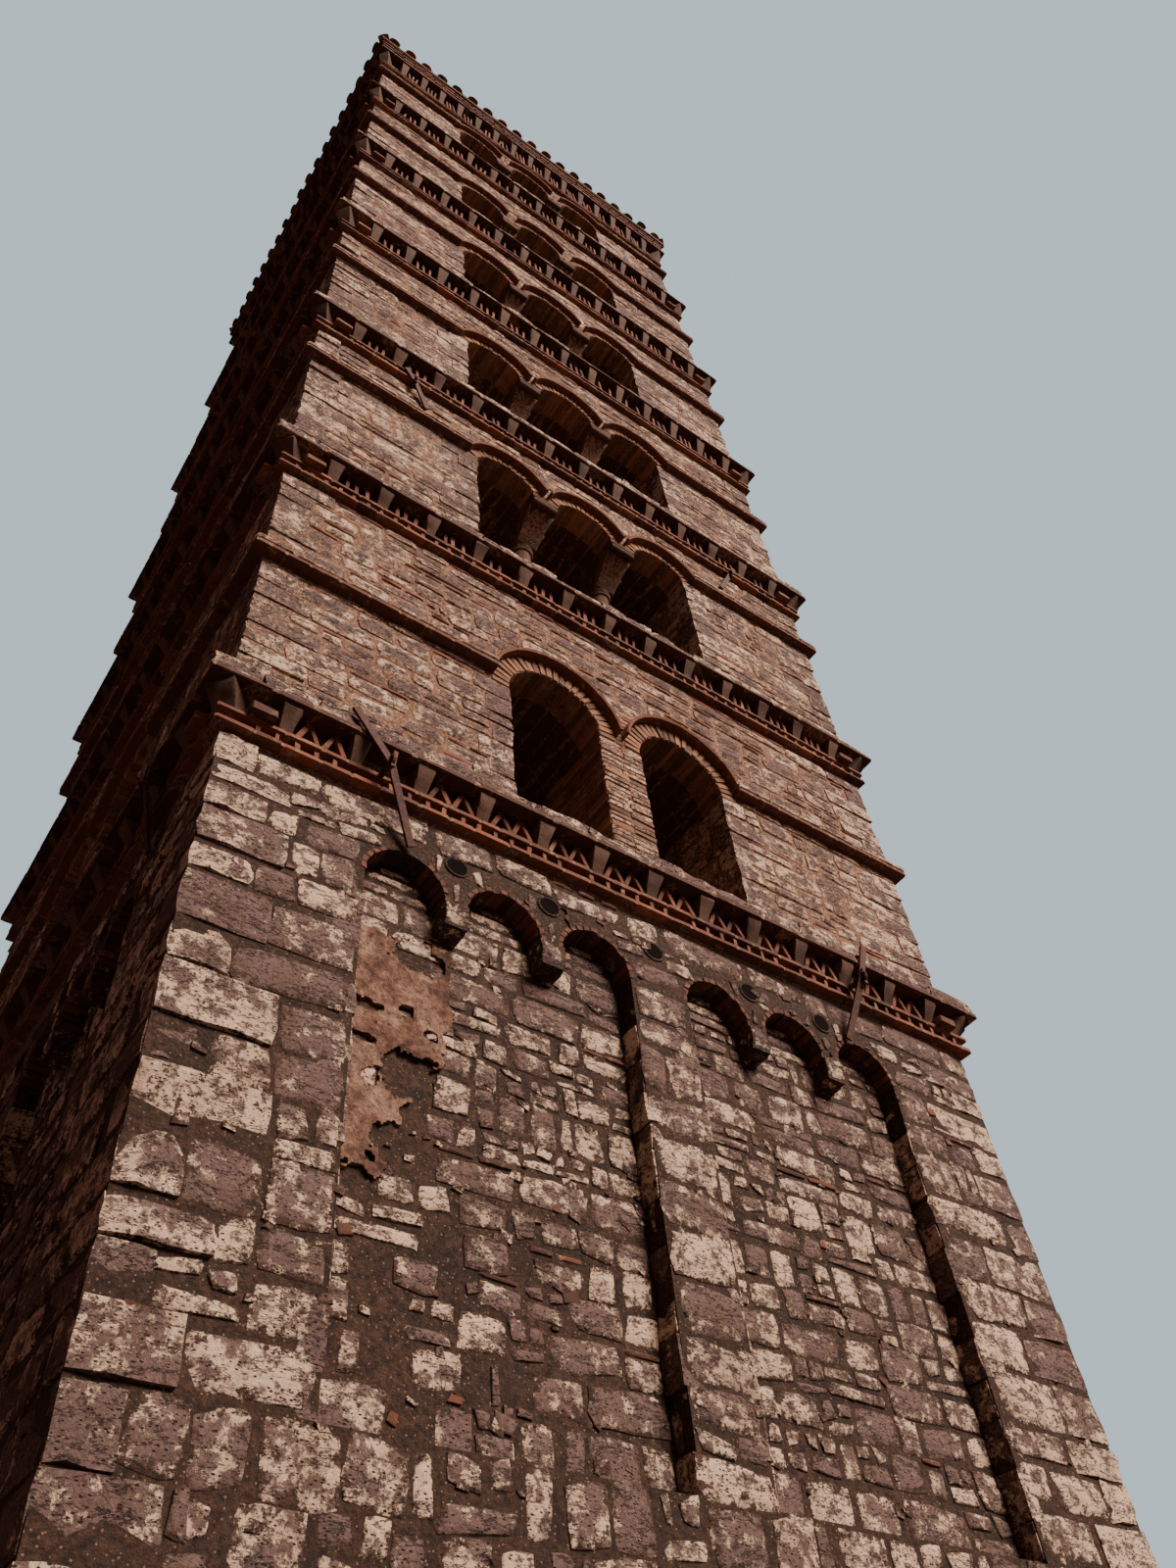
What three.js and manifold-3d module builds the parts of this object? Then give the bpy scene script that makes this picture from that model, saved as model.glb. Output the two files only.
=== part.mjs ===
// A medieval bell tower: a square masonry shaft with a blind arcade at its foot,
// six open storeys of round-arched windows, brick cornices between them and a low tiled roof.
// Millimetres, +Z up. The front face looks along -Y and the origin is under the middle of the tower.
import * as THREE from 'three';
import { mergeVertices } from 'three/addons/utils/BufferGeometryUtils.js';
import Module from 'manifold-3d';

const wasm = await Module();
wasm.setup();

// Driving dimensions
const WIDTH = 7000;            // outer width of the shaft, square in plan
const JOINT = 0.3;             // gap left where one piece rests on the next
const BASE_THICKNESS = 1250;   // wall thickness of the foot
const THINNING = 75;           // each storey's wall is this much thinner, and its floor rests on the step
const FLOOR_THICKNESS = 200;
const SILL_HEIGHT = 260;       // top of a window sill over the cornice below it
const STRING_HEIGHT = 90;      // moulding that turns into the hoods of the arches
const STRING_PROJECTION = 110;
const STRING_TAIL = 20;        // how far the moulding is let into the wall
const ARCH_SEGMENTS = 12;      // sides of an arch head

// Blind arcade of the foot
const PANEL_BOTTOM = 3900;
const PANEL_DEPTH = 170;
const PANEL_SPRINGING = 7320;
const CORNER_STRIP = 1100;     // flat strip at each corner of a face
const MIDDLE_STRIP = 520;      // flat strip between the two sunk panels
const BLIND_ARCHES = 3;
const BLIND_ARCH_SEGMENTS = 10;
const CORBEL_WIDTH = 170;
const CORBEL_HEIGHT = 190;

// Cornices: projections beyond the wall face
const BAND_OFFSET = 40;        // plain course under the lower band
const BAND_PROJECTION = 80;
const BAND_HEIGHT = 32;
const TOOTH_ROW_HEIGHT = 93;
const SLAB_PROJECTION = 200;
const SLAB_HEIGHT = 35;

// Storeys from the foot up. Each starts on the cornice below it and ends under its own cornice.
// An arch springs at its springing and is as high as its rise; the string moulding starts at string.
const STOREYS = [
  {
    number: 2, floor: 8430, springing: 10190, rise: 490, string: 10290, top: 11750,
    lights: 2, arch: 980, pier: 450,
  },
  {
    number: 3, floor: 12180, springing: 14400, rise: 230, string: 14420, top: 15220,
    lights: 3, arch: 760, pier: 340,
  },
  {
    number: 4, floor: 15680, springing: 17740, rise: 260, string: 17760, top: 18900,
    lights: 3, arch: 840, pier: 340,
  },
  {
    number: 5, floor: 19480, springing: 21540, rise: 300, string: 21620, top: 22750,
    lights: 3, arch: 870, pier: 340,
  },
  {
    number: 6, floor: 23350, springing: 25150, rise: 400, string: 25380, top: 26650,
    lights: 3, arch: 900, pier: 340,
  },
  {
    number: 7, floor: 27300, springing: 29200, rise: 420, string: 29450, top: 30080,
    lights: 3, arch: 920, pier: 340,
  },
];
const BASE_TOP = 8000;

// Columns of the three-light windows
const SHAFT_RADIUS = 105;
const SHAFT_SIDES = 8;
const COLUMN_BASE_RADIUS = 150;
const COLUMN_BASE_HEIGHT = 110;
const NECK_RADIUS = 140;
const NECK_HEIGHT = 50;
const CAPITAL_HEIGHT = 360;
const ABACUS_HEIGHT = 70;
const CAPITAL_FOOT = 230;

// Eaves and roof
const EAVES_BOTTOM = 30080;
const EAVES_SLAB = 30850;       // underside of the slab on the brackets
const EAVES_TOP = 31450;
const EAVES_SLAB_PROJECTION = 230;
const TILE_PROJECTION = 350;
const ROOF_EDGE_HEIGHT = 160;
const ROOF_RISE = 1650;
const ROOF_THICKNESS = 300;
const ROOF_RIM = 700;          // width of the flat underside of the roof along the eaves

const HALF = WIDTH / 2;
const REACH = WIDTH * 1.2;     // length of a cut that goes right through the tower
const OVERSHOOT = 50;          // how far a cut starts outside what it cuts

// Materials
function masonry(colour) {
  return new THREE.MeshStandardMaterial({ color: colour, roughness: 0.95, metalness: 0 });
}
const stone = masonry('#a58d75');
const rubble = masonry('#9c8470');
const brick = masonry('#8d5238');
const marble = masonry('#b3a48f');
const tile = masonry('#8a5a43');
const plank = new THREE.MeshStandardMaterial({ color: '#5e4632', roughness: 0.85, metalness: 0 });
const iron = new THREE.MeshStandardMaterial({ color: '#5a3324', roughness: 0.8, metalness: 0.5 });

// Solids: a geometry becomes a solid for cutting and joining, and a mesh again after it
function solid(geometry) {
  const bare = geometry.clone();
  bare.deleteAttribute('normal');
  bare.deleteAttribute('uv');
  const merged = mergeVertices(bare, 1e-3);
  return new wasm.Manifold(new wasm.Mesh({
    numProp: 3,
    vertProperties: new Float32Array(merged.attributes.position.array),
    triVerts: new Uint32Array(merged.index.array),
  }));
}

function geometryOf(body) {
  const mesh = body.getMesh();
  const geometry = new THREE.BufferGeometry();
  geometry.setAttribute('position', new THREE.BufferAttribute(new Float32Array(mesh.vertProperties), 3));
  geometry.setIndex(new THREE.BufferAttribute(new Uint32Array(mesh.triVerts), 1));
  geometry.computeVertexNormals();
  return geometry;
}

function box(x0, x1, y0, y1, z0, z1) {
  const geometry = new THREE.BoxGeometry(x1 - x0, y1 - y0, z1 - z0);
  geometry.translate((x0 + x1) / 2, (y0 + y1) / 2, (z0 + z1) / 2);
  return solid(geometry);
}

// A square ring with mitred corners: profile points are [distance from the axis, height]
function squareRing(profile) {
  const points = profile.map(([distance, height]) => new THREE.Vector2(distance * Math.SQRT2, height));
  points.push(points[0].clone());
  const geometry = new THREE.LatheGeometry(points, 4, Math.PI / 4);
  geometry.rotateX(Math.PI / 2);
  return solid(geometry);
}

function quarterTurn(body, turns) {
  return body.rotate([0, 0, 90 * turns]);
}

// A cut that opens opposite faces: made along Y, then repeated along X
function cutBothWays(body, cut) {
  return body.subtract(cut).subtract(quarterTurn(cut, 1));
}

function archCentres(storey) {
  const pitch = storey.arch + storey.pier;
  const first = -pitch * (storey.lights - 1) / 2;
  return Array.from({ length: storey.lights }, (_, i) => first + i * pitch);
}

function openingWidth(storey) {
  return storey.lights * storey.arch + (storey.lights - 1) * storey.pier;
}

function thickness(storey) {
  return BASE_THICKNESS - THINNING * (storey.number - 1);
}

// Foot of the tower: four mitred walls, each with two sunk panels under little blind arches
function sunkPanel(left, right) {
  const archWidth = (right - left - (BLIND_ARCHES - 1) * CORBEL_WIDTH) / BLIND_ARCHES;
  const outline = new THREE.Shape();
  outline.moveTo(left, PANEL_BOTTOM);
  outline.lineTo(right, PANEL_BOTTOM);
  outline.lineTo(right, PANEL_SPRINGING);
  for (let i = BLIND_ARCHES - 1; i >= 0; i -= 1) {
    const archLeft = left + i * (archWidth + CORBEL_WIDTH);
    outline.absarc(archLeft + archWidth / 2, PANEL_SPRINGING, archWidth / 2, 0, Math.PI, false);
    if (i > 0) {
      outline.lineTo(archLeft, PANEL_SPRINGING - CORBEL_HEIGHT);
      outline.lineTo(archLeft - CORBEL_WIDTH, PANEL_SPRINGING - CORBEL_HEIGHT);
      outline.lineTo(archLeft - CORBEL_WIDTH, PANEL_SPRINGING);
    }
  }
  outline.closePath();
  const geometry = new THREE.ExtrudeGeometry(outline, {
    depth: PANEL_DEPTH + OVERSHOOT, bevelEnabled: false, curveSegments: BLIND_ARCH_SEGMENTS,
  });
  geometry.rotateX(Math.PI / 2);
  geometry.translate(0, -HALF + PANEL_DEPTH, 0);
  return solid(geometry);
}

function footWall() {
  const inner = HALF - BASE_THICKNESS;
  const plan = new THREE.Shape([
    new THREE.Vector2(-HALF + JOINT, -HALF),
    new THREE.Vector2(HALF - JOINT, -HALF),
    new THREE.Vector2(inner - JOINT, -inner),
    new THREE.Vector2(-inner + JOINT, -inner),
  ]);
  const wall = solid(new THREE.ExtrudeGeometry(plan, { depth: BASE_TOP - JOINT, bevelEnabled: false }));
  const edge = HALF - CORNER_STRIP;
  return wall
    .subtract(sunkPanel(-edge, -MIDDLE_STRIP / 2))
    .subtract(sunkPanel(MIDDLE_STRIP / 2, edge));
}

// Cornice over a storey: a brick band, a row of teeth, a second band, a recess for
// the saw-tooth course and its brackets, and a thin projecting slab on top
function cornice(bottom, top, wallThickness) {
  const inner = HALF - wallThickness;
  const firstBand = bottom + BAND_OFFSET;
  const secondBand = firstBand + BAND_HEIGHT + TOOTH_ROW_HEIGHT;
  return squareRing([
    [inner, bottom],
    [HALF, bottom],
    [HALF, firstBand],
    [HALF + BAND_PROJECTION, firstBand],
    [HALF + BAND_PROJECTION, firstBand + BAND_HEIGHT],
    [HALF, firstBand + BAND_HEIGHT],
    [HALF, secondBand],
    [HALF + BAND_PROJECTION, secondBand],
    [HALF + BAND_PROJECTION, secondBand + BAND_HEIGHT],
    [HALF, secondBand + BAND_HEIGHT],
    [HALF, top - SLAB_HEIGHT],
    [HALF + SLAB_PROJECTION, top - SLAB_HEIGHT],
    [HALF + SLAB_PROJECTION, top - JOINT],
    [inner, top - JOINT],
  ]);
}

// Cut for the head of an arch: a segment of a circle as wide as the light, right through the tower
function archHead(storey, centre) {
  const half = storey.arch / 2;
  const radius = (half ** 2 + storey.rise ** 2) / (2 * storey.rise);
  const start = Math.acos(half / radius);
  const outline = new THREE.Shape();
  outline.moveTo(-half, -OVERSHOOT);
  outline.lineTo(half, -OVERSHOOT);
  outline.absarc(0, storey.rise - radius, radius, start, Math.PI - start, false);
  outline.closePath();
  const geometry = new THREE.ExtrudeGeometry(outline, {
    depth: 2 * REACH, bevelEnabled: false, curveSegments: ARCH_SEGMENTS,
  });
  geometry.rotateX(Math.PI / 2);
  geometry.translate(centre, REACH, storey.springing);
  return solid(geometry);
}

// Walls of a storey: four corner piers below the springing, the arched wall over them
// and the string moulding that runs from each corner to the first arch
function storeyWalls(storey) {
  const inner = HALF - thickness(storey);
  const sill = storey.floor + SILL_HEIGHT;
  const half = openingWidth(storey) / 2;
  const ring = squareRing([
    [inner, sill],
    [HALF, sill],
    [HALF, storey.top - JOINT],
    [inner, storey.top - JOINT],
  ]);
  const string = squareRing([
    [HALF - STRING_TAIL, storey.string],
    [HALF + STRING_PROJECTION, storey.string],
    [HALF + STRING_PROJECTION, storey.string + STRING_HEIGHT],
    [HALF - STRING_TAIL, storey.string + STRING_HEIGHT],
  ]);
  const hood = half + storey.pier / 2;
  const stringGap = box(
    -hood, hood, -REACH, REACH, storey.string - OVERSHOOT, storey.string + STRING_HEIGHT + OVERSHOOT,
  );
  let walls = ring.add(cutBothWays(string, stringGap));
  const window = box(-half, half, -REACH, REACH, sill - OVERSHOOT, storey.springing);
  walls = cutBothWays(walls, window);
  for (const centre of archCentres(storey)) {
    walls = cutBothWays(walls, archHead(storey, centre));
  }
  return walls;
}

// Column with a flared capital that reaches from the inner to the outer wall face
function column(x, storey) {
  const depth = thickness(storey);
  const foot = storey.floor + SILL_HEIGHT - 1;
  const top = storey.springing - JOINT;
  const neckTop = top - ABACUS_HEIGHT - CAPITAL_HEIGHT;
  const profile = [
    [0, foot],
    [COLUMN_BASE_RADIUS, foot],
    [COLUMN_BASE_RADIUS, foot + COLUMN_BASE_HEIGHT],
    [SHAFT_RADIUS, foot + COLUMN_BASE_HEIGHT],
    [SHAFT_RADIUS, neckTop - NECK_HEIGHT],
    [NECK_RADIUS, neckTop - NECK_HEIGHT],
    [NECK_RADIUS, neckTop + 1],
    [0, neckTop + 1],
  ].map(([radius, height]) => new THREE.Vector2(radius, height));
  const shaft = new THREE.LatheGeometry(profile, SHAFT_SIDES);
  shaft.rotateX(Math.PI / 2);

  const capital = new THREE.BoxGeometry(storey.pier, depth, CAPITAL_HEIGHT + 1);
  const corners = capital.attributes.position;
  for (let i = 0; i < corners.count; i += 1) {
    if (corners.getZ(i) < 0) {
      corners.setX(i, corners.getX(i) * CAPITAL_FOOT / storey.pier);
      corners.setY(i, corners.getY(i) * CAPITAL_FOOT / depth);
    }
  }
  capital.translate(0, 0, neckTop + (CAPITAL_HEIGHT + 1) / 2);
  const abacus = box(-storey.pier / 2, storey.pier / 2, -depth / 2, depth / 2, top - ABACUS_HEIGHT, top);
  return solid(shaft).add(solid(capital)).add(abacus).translate([x, -HALF + depth / 2, 0]);
}

// Sill course of a storey with the piers or columns that stand on it
function sillAndSupports(storey) {
  const inner = HALF - thickness(storey);
  let course = squareRing([
    [inner, storey.floor],
    [HALF, storey.floor],
    [HALF, storey.floor + SILL_HEIGHT - JOINT],
    [inner, storey.floor + SILL_HEIGHT - JOINT],
  ]);
  const centres = archCentres(storey);
  const pitch = storey.arch + storey.pier;
  for (let face = 0; face < 4; face += 1) {
    for (const centre of centres.slice(0, -1)) {
      const x = centre + pitch / 2;
      const support = storey.lights === 2
        ? box(x - storey.pier / 2, x + storey.pier / 2, -HALF, -inner,
          storey.floor + SILL_HEIGHT - 1, storey.springing - JOINT)
        : column(x, storey);
      course = course.add(quarterTurn(support, face));
    }
  }
  return course;
}

function floorSlab(storey) {
  const reach = HALF - thickness(storey) - JOINT;
  return box(-reach, reach, -reach, reach, storey.floor, storey.floor + FLOOR_THICKNESS);
}

// Eaves: two brick bands, a bracketed slab, a brick course over it and a second slab
function eaves() {
  const inner = HALF - thickness(STOREYS.at(-1));
  const secondBand = EAVES_BOTTOM + BAND_HEIGHT + TOOTH_ROW_HEIGHT;
  return squareRing([
    [inner, EAVES_BOTTOM],
    [HALF + BAND_PROJECTION, EAVES_BOTTOM],
    [HALF + BAND_PROJECTION, EAVES_BOTTOM + BAND_HEIGHT],
    [HALF, EAVES_BOTTOM + BAND_HEIGHT],
    [HALF, secondBand],
    [HALF + BAND_PROJECTION, secondBand],
    [HALF + BAND_PROJECTION, secondBand + BAND_HEIGHT],
    [HALF + 20, secondBand + BAND_HEIGHT],
    [HALF + 20, EAVES_SLAB],
    [HALF + SLAB_PROJECTION, EAVES_SLAB],
    [HALF + SLAB_PROJECTION, EAVES_SLAB + SLAB_HEIGHT],
    [HALF + BAND_PROJECTION, EAVES_SLAB + SLAB_HEIGHT],
    [HALF + BAND_PROJECTION, EAVES_TOP - SLAB_HEIGHT],
    [HALF + EAVES_SLAB_PROJECTION, EAVES_TOP - SLAB_HEIGHT],
    [HALF + EAVES_SLAB_PROJECTION, EAVES_TOP - JOINT],
    [inner, EAVES_TOP - JOINT],
  ]);
}

// Low four-sided roof, a shell that is open to the room under it
function roof() {
  const edge = HALF + TILE_PROJECTION;
  const rim = edge - ROOF_RIM;
  const eavesLine = EAVES_TOP + ROOF_EDGE_HEIGHT;
  return squareRing([
    [rim, EAVES_TOP],
    [edge, EAVES_TOP],
    [edge, eavesLine],
    [0, eavesLine + ROOF_RISE],
    [0, eavesLine + ROOF_RISE - ROOF_THICKNESS],
  ]);
}

// Iron wall anchors: flat bars through the eye of a tie rod, which bear on the masonry.
// Each point is [place along the face, distance out from the wall face, height].
const BAR_WIDTH = 60;
const BAR_THICKNESS = 22;
const ROD_RADIUS = 22;
const LOWER_TIE = BASE_TOP + BAND_OFFSET + BAND_HEIGHT + TOOTH_ROW_HEIGHT + BAND_HEIGHT / 2;
const UPPER_TIE = STOREYS[1].top - 30;
const LOWER_LEFT_ANCHOR = {
  seat: BAND_PROJECTION, top: [-2680, 225, 8600], middle: [-2380, 225, LOWER_TIE], bottom: [-2100, 40, 7650],
};
const LOWER_RIGHT_ANCHOR = {
  seat: BAND_PROJECTION, top: [2290, 225, 8600], middle: [2130, 225, LOWER_TIE], bottom: [1960, 40, 7600],
};
const UPPER_LEFT_ANCHOR = {
  seat: 0, top: [-2470, 105, 15400], middle: [-2350, 100, UPPER_TIE], bottom: [-2150, 40, 14790],
};
const UPPER_RIGHT_ANCHOR = {
  seat: 0, top: [2420, 105, 15400], middle: [2320, 100, UPPER_TIE], bottom: [2140, 40, 14790],
};
const SIDE_ANCHOR = {
  seat: BAND_PROJECTION, top: [2900, 225, 8560], middle: [2740, 225, LOWER_TIE], bottom: [2560, 40, 7700],
};

function flatBar(start, end) {
  const along = end.clone().sub(start).normalize();
  const side = new THREE.Vector3(0, 1, 0).cross(along).normalize();
  const out = along.clone().cross(side);
  const geometry = new THREE.BoxGeometry(BAR_WIDTH, BAR_THICKNESS, start.distanceTo(end));
  geometry.applyMatrix4(new THREE.Matrix4().makeBasis(side, out, along));
  const middle = start.clone().lerp(end, 0.5);
  geometry.translate(middle.x, middle.y, middle.z);
  return solid(geometry);
}

function anchor({ seat, top, middle, bottom }) {
  const place = ([along, out, height]) => new THREE.Vector3(along, -HALF - out, height);
  const eye = place(middle);
  const wallEnd = -HALF - seat - JOINT;
  const rodEnd = eye.y - BAR_THICKNESS;
  const rod = new THREE.CylinderGeometry(ROD_RADIUS, ROD_RADIUS, wallEnd - rodEnd, 10);
  rod.translate(eye.x, (wallEnd + rodEnd) / 2, eye.z);
  return flatBar(place(top), eye).add(flatBar(eye, place(bottom))).add(solid(rod));
}

// The far end of a tie rod comes out at the same place on the opposite face
function farEnd(design) {
  const mirror = ([along, out, height]) => [-along, out, height];
  return { ...design, top: mirror(design.top), middle: mirror(design.middle), bottom: mirror(design.bottom) };
}

// The tower
const tower = new THREE.Group();

function add(name, body, material) {
  const mesh = new THREE.Mesh(geometryOf(body), material);
  mesh.name = name;
  tower.add(mesh);
}

const FACES = ['front', 'right', 'back', 'left'];
FACES.forEach((face, turns) => add(`${face}_foot_wall`, quarterTurn(footWall(), turns), rubble));
add('cornice_1', cornice(BASE_TOP, STOREYS[0].floor, BASE_THICKNESS), brick);

STOREYS.forEach((storey, i) => {
  const n = storey.number;
  const supports = storey.lights === 2 ? 'sill_and_piers' : 'sill_and_columns';
  add(`storey_${n}_${supports}`, sillAndSupports(storey), storey.lights === 2 ? stone : marble);
  add(`storey_${n}_walls`, storeyWalls(storey), stone);
  add(`storey_${n}_floor`, floorSlab(storey), plank);
  if (i < STOREYS.length - 1) {
    add(`cornice_${n}`, cornice(storey.top, STOREYS[i + 1].floor, thickness(storey)), brick);
  }
});
add('eaves_cornice', eaves(), brick);
add('roof', roof(), tile);

const FRONT_ANCHORS = {
  anchor_1_left: LOWER_LEFT_ANCHOR,
  anchor_1_right: LOWER_RIGHT_ANCHOR,
  anchor_3_left: UPPER_LEFT_ANCHOR,
  anchor_3_right: UPPER_RIGHT_ANCHOR,
};
for (const [name, design] of Object.entries(FRONT_ANCHORS)) {
  add(`front_${name}`, anchor(design), iron);
  add(`back_${name}`, quarterTurn(anchor(farEnd(design)), 2), iron);
}
add('right_anchor_1', quarterTurn(anchor(farEnd(SIDE_ANCHOR)), 1), iron);
add('left_anchor_1', quarterTurn(anchor(SIDE_ANCHOR), 3), iron);

export default tower;
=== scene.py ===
"""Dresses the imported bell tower: stones, bricks, columns, tiles, boards and iron, laid on the CAD frame."""

import math
from functools import cache
from typing import NamedTuple

import bpy
import numpy as np
from bpy.props import FloatProperty, FloatVectorProperty, IntProperty, PointerProperty
from mathutils import Matrix, Vector, noise


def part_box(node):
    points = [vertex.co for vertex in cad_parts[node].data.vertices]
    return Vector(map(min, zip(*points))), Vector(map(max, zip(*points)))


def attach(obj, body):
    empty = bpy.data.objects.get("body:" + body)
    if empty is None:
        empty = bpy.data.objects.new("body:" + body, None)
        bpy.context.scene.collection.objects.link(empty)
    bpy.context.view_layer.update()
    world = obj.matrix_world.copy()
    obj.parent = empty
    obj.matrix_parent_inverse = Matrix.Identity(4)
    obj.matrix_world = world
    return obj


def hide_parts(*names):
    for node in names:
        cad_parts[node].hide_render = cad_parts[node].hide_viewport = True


bl_info = {
    "name": "Romanesque bell tower",
    "version": (1, 0, 0),
    "blender": (4, 5, 0),
    "location": "3D View > Sidebar > Bell tower",
    "description": "Lays the stones, bricks, columns, tiles and iron of a medieval bell tower on its frame",
    "category": "Add Mesh",
}

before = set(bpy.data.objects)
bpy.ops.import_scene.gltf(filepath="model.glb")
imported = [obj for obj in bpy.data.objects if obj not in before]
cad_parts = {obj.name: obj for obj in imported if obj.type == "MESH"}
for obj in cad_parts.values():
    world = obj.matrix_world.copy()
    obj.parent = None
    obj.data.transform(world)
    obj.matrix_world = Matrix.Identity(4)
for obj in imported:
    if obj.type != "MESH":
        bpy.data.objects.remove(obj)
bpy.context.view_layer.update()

# Sizes in metres that the CAD frame fixes. Facings stand 1 to 12 mm proud of the solids they cover, which
# is added where they are laid.
HALF = 3.5
WALL_AT_FOOT = 1.25
WALL_STEP = 0.075
SILL = 0.26
STRING = 0.09
STRING_OUT = 0.11
BAND_FROM = 0.04
BAND = 0.032
BAND_OUT = 0.08
TOOTH_ROW = 0.093
SLAB = 0.035
SLAB_OUT = 0.2
PANEL_FOOT = 3.9
PANEL_SPRINGING = 7.32
PANEL_DEPTH = 0.17
PANEL_IN = 0.26
PANEL_OUT = 2.4
BLIND_RADIUS = 0.3
CORBEL = 0.17
BLIND_STEP = 2 * BLIND_RADIUS + CORBEL
CORBEL_HEIGHT = 0.19
EAVES_SLAB = 30.85
EAVES_TOP = 31.45
ROOF_EDGE = 31.61
ROOF_TOP = 33.26
ROOF_OUT = 0.35
# Depth of the brick ring of an arch, by the number of lights
RING_DEPTH = {2: 0.18, 3: 0.12}


class Arc(NamedTuple):
    """Half section of an arch: its centre's height, its radius and the angle at which it springs."""

    z: float
    radius: float
    start: float


class Storey(NamedTuple):
    """An arcaded storey, as the CAD frame has it."""

    number: int
    floor: float
    springing: float
    rise: float
    string: float
    top: float
    lights: int
    light: float
    support: float

    @property
    def wall(self):
        return WALL_AT_FOOT - WALL_STEP * (self.number - 1)

    @property
    def middles(self):
        pitch = self.light + self.support
        return [(i - (self.lights - 1) / 2) * pitch for i in range(self.lights)]

    @property
    def supports(self):
        """Middles of the piers or columns between the lights."""
        return [x + (self.light + self.support) / 2 for x in self.middles[:-1]]

    @property
    def jamb(self):
        return (self.lights * self.light + (self.lights - 1) * self.support) / 2

    @property
    def arc(self):
        half = self.light / 2
        radius = (half**2 + self.rise**2) / (2 * self.rise)
        return Arc(self.springing + self.rise - radius, radius, math.acos(min(1, half / radius)))

    @property
    def ring(self):
        """Outer radius of the brick ring, which the hood lies on."""
        return self.arc.radius + RING_DEPTH[self.lights]

    @property
    def hood_reach(self):
        """How far from the middle of an arch its hood meets the string."""
        return math.sqrt(self.ring**2 - (self.string - self.arc.z) ** 2)


def read_storey(number, springing, rise, string, lights, light, support):
    above = f"cornice_{number}" if number < 7 else "eaves_cornice"
    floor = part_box(f"storey_{number}_floor")[0].z
    return Storey(number, floor, springing, rise, string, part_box(above)[0].z, lights, light, support)


STOREYS = [
    read_storey(2, 10.19, 0.49, 10.29, 2, 0.98, 0.45),
    read_storey(3, 14.40, 0.23, 14.42, 3, 0.76, 0.34),
    read_storey(4, 17.74, 0.26, 17.76, 3, 0.84, 0.34),
    read_storey(5, 21.54, 0.30, 21.62, 3, 0.87, 0.34),
    read_storey(6, 25.15, 0.40, 25.38, 3, 0.90, 0.34),
    read_storey(7, 29.20, 0.42, 29.45, 3, 0.92, 0.34),
]


def linear(hex_colour):
    """Turns an sRGB hex colour into linear red, green and blue."""
    parts = [int(hex_colour[i : i + 2], 16) / 255 for i in (1, 3, 5)]
    return tuple(c / 12.92 if c <= 0.04045 else ((c + 0.055) / 1.055) ** 2.4 for c in parts)


# What a user may change

class TowerSizes(bpy.types.PropertyGroup):
    """Sizes of the masonry that is laid on the frame"""

    foot_course: FloatProperty(
        name="Foot course", description="Height of a usual stone course at the foot",
        default=0.32, min=0.2, max=0.5, unit="LENGTH")
    upper_course: FloatProperty(
        name="Upper course", description="Height of a usual stone course in the storeys",
        default=0.22, min=0.12, max=0.4, unit="LENGTH")
    brick_length: FloatProperty(
        name="Brick length", description="Length of the bricks in bands and slabs",
        default=0.25, min=0.15, max=0.4, unit="LENGTH")
    tooth_pitch: FloatProperty(
        name="Tooth pitch", description="Distance between the little upright bricks of a cornice",
        default=0.1425, min=0.1, max=0.3, unit="LENGTH")
    brackets: IntProperty(
        name="Brackets", description="Stone brackets along one side of a cornice, without the corners",
        default=13, min=7, max=17)
    tile_pitch: FloatProperty(
        name="Tile pitch", description="Distance between two rows of cover tiles on the roof",
        default=0.385, min=0.2, max=0.5, unit="LENGTH")


def colour_property(name, description, hex_colour):
    return FloatVectorProperty(
        name=name, description=description, subtype="COLOR", size=3, min=0, max=1, default=linear(hex_colour))


class TowerColours(bpy.types.PropertyGroup):
    """Main colours of the tower's materials"""

    crust: colour_property("Stone crust", "Pale lime crust on the stones", "#E3C9AE")
    core: colour_property("Stone core", "Grey-violet heart of the stones", "#6C5751")
    mortar: colour_property("Mortar", "Lime mortar of the storeys", "#A9836A")
    foot_mortar: colour_property("Foot mortar", "Darker mortar at the foot", "#4C3628")
    clay: colour_property("Cornice brick", "Dark red fired brick of the cornices", "#6E422F")
    arch_clay: colour_property("Arch brick", "Paler fired brick of the arches", "#825C42")
    marble: colour_property("Marble", "Weathered marble of columns and brackets", "#543F34")
    tile: colour_property("Roof tile", "Fired roof tile", "#83563F")
    rust: colour_property("Rust", "Rust of the iron anchors", "#3A2018")


# Materials

# The colour sockets of a Mix node, and how it is set up for colours
MIX_A, MIX_B = 6, 7
MIX = {"data_type": "RGBA", "output": 2}


def add(tree, kind, inputs=None, stops=None, output=0, **settings):
    """Adds a node with its settings, colour stops and inputs, which are values or links. Gives one output."""
    made = tree.nodes.new("ShaderNode" + kind)
    for name, value in settings.items():
        setattr(made, name, value)
    if stops:
        elements = made.color_ramp.elements
        while len(elements) < len(stops):
            elements.new(0.5)
        for element, (position, colour) in zip(elements, stops):
            element.position = position
            element.color = (*colour, 1)
    for name, value in (inputs or {}).items():
        if isinstance(value, bpy.types.NodeSocket):
            tree.links.new(value, made.inputs[name])
        elif isinstance(value, tuple) and len(value) == 3 and made.inputs[name].type == "RGBA":
            made.inputs[name].default_value = (*value, 1)
        else:
            made.inputs[name].default_value = value
    return made.outputs[output] if made.outputs else None


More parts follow.
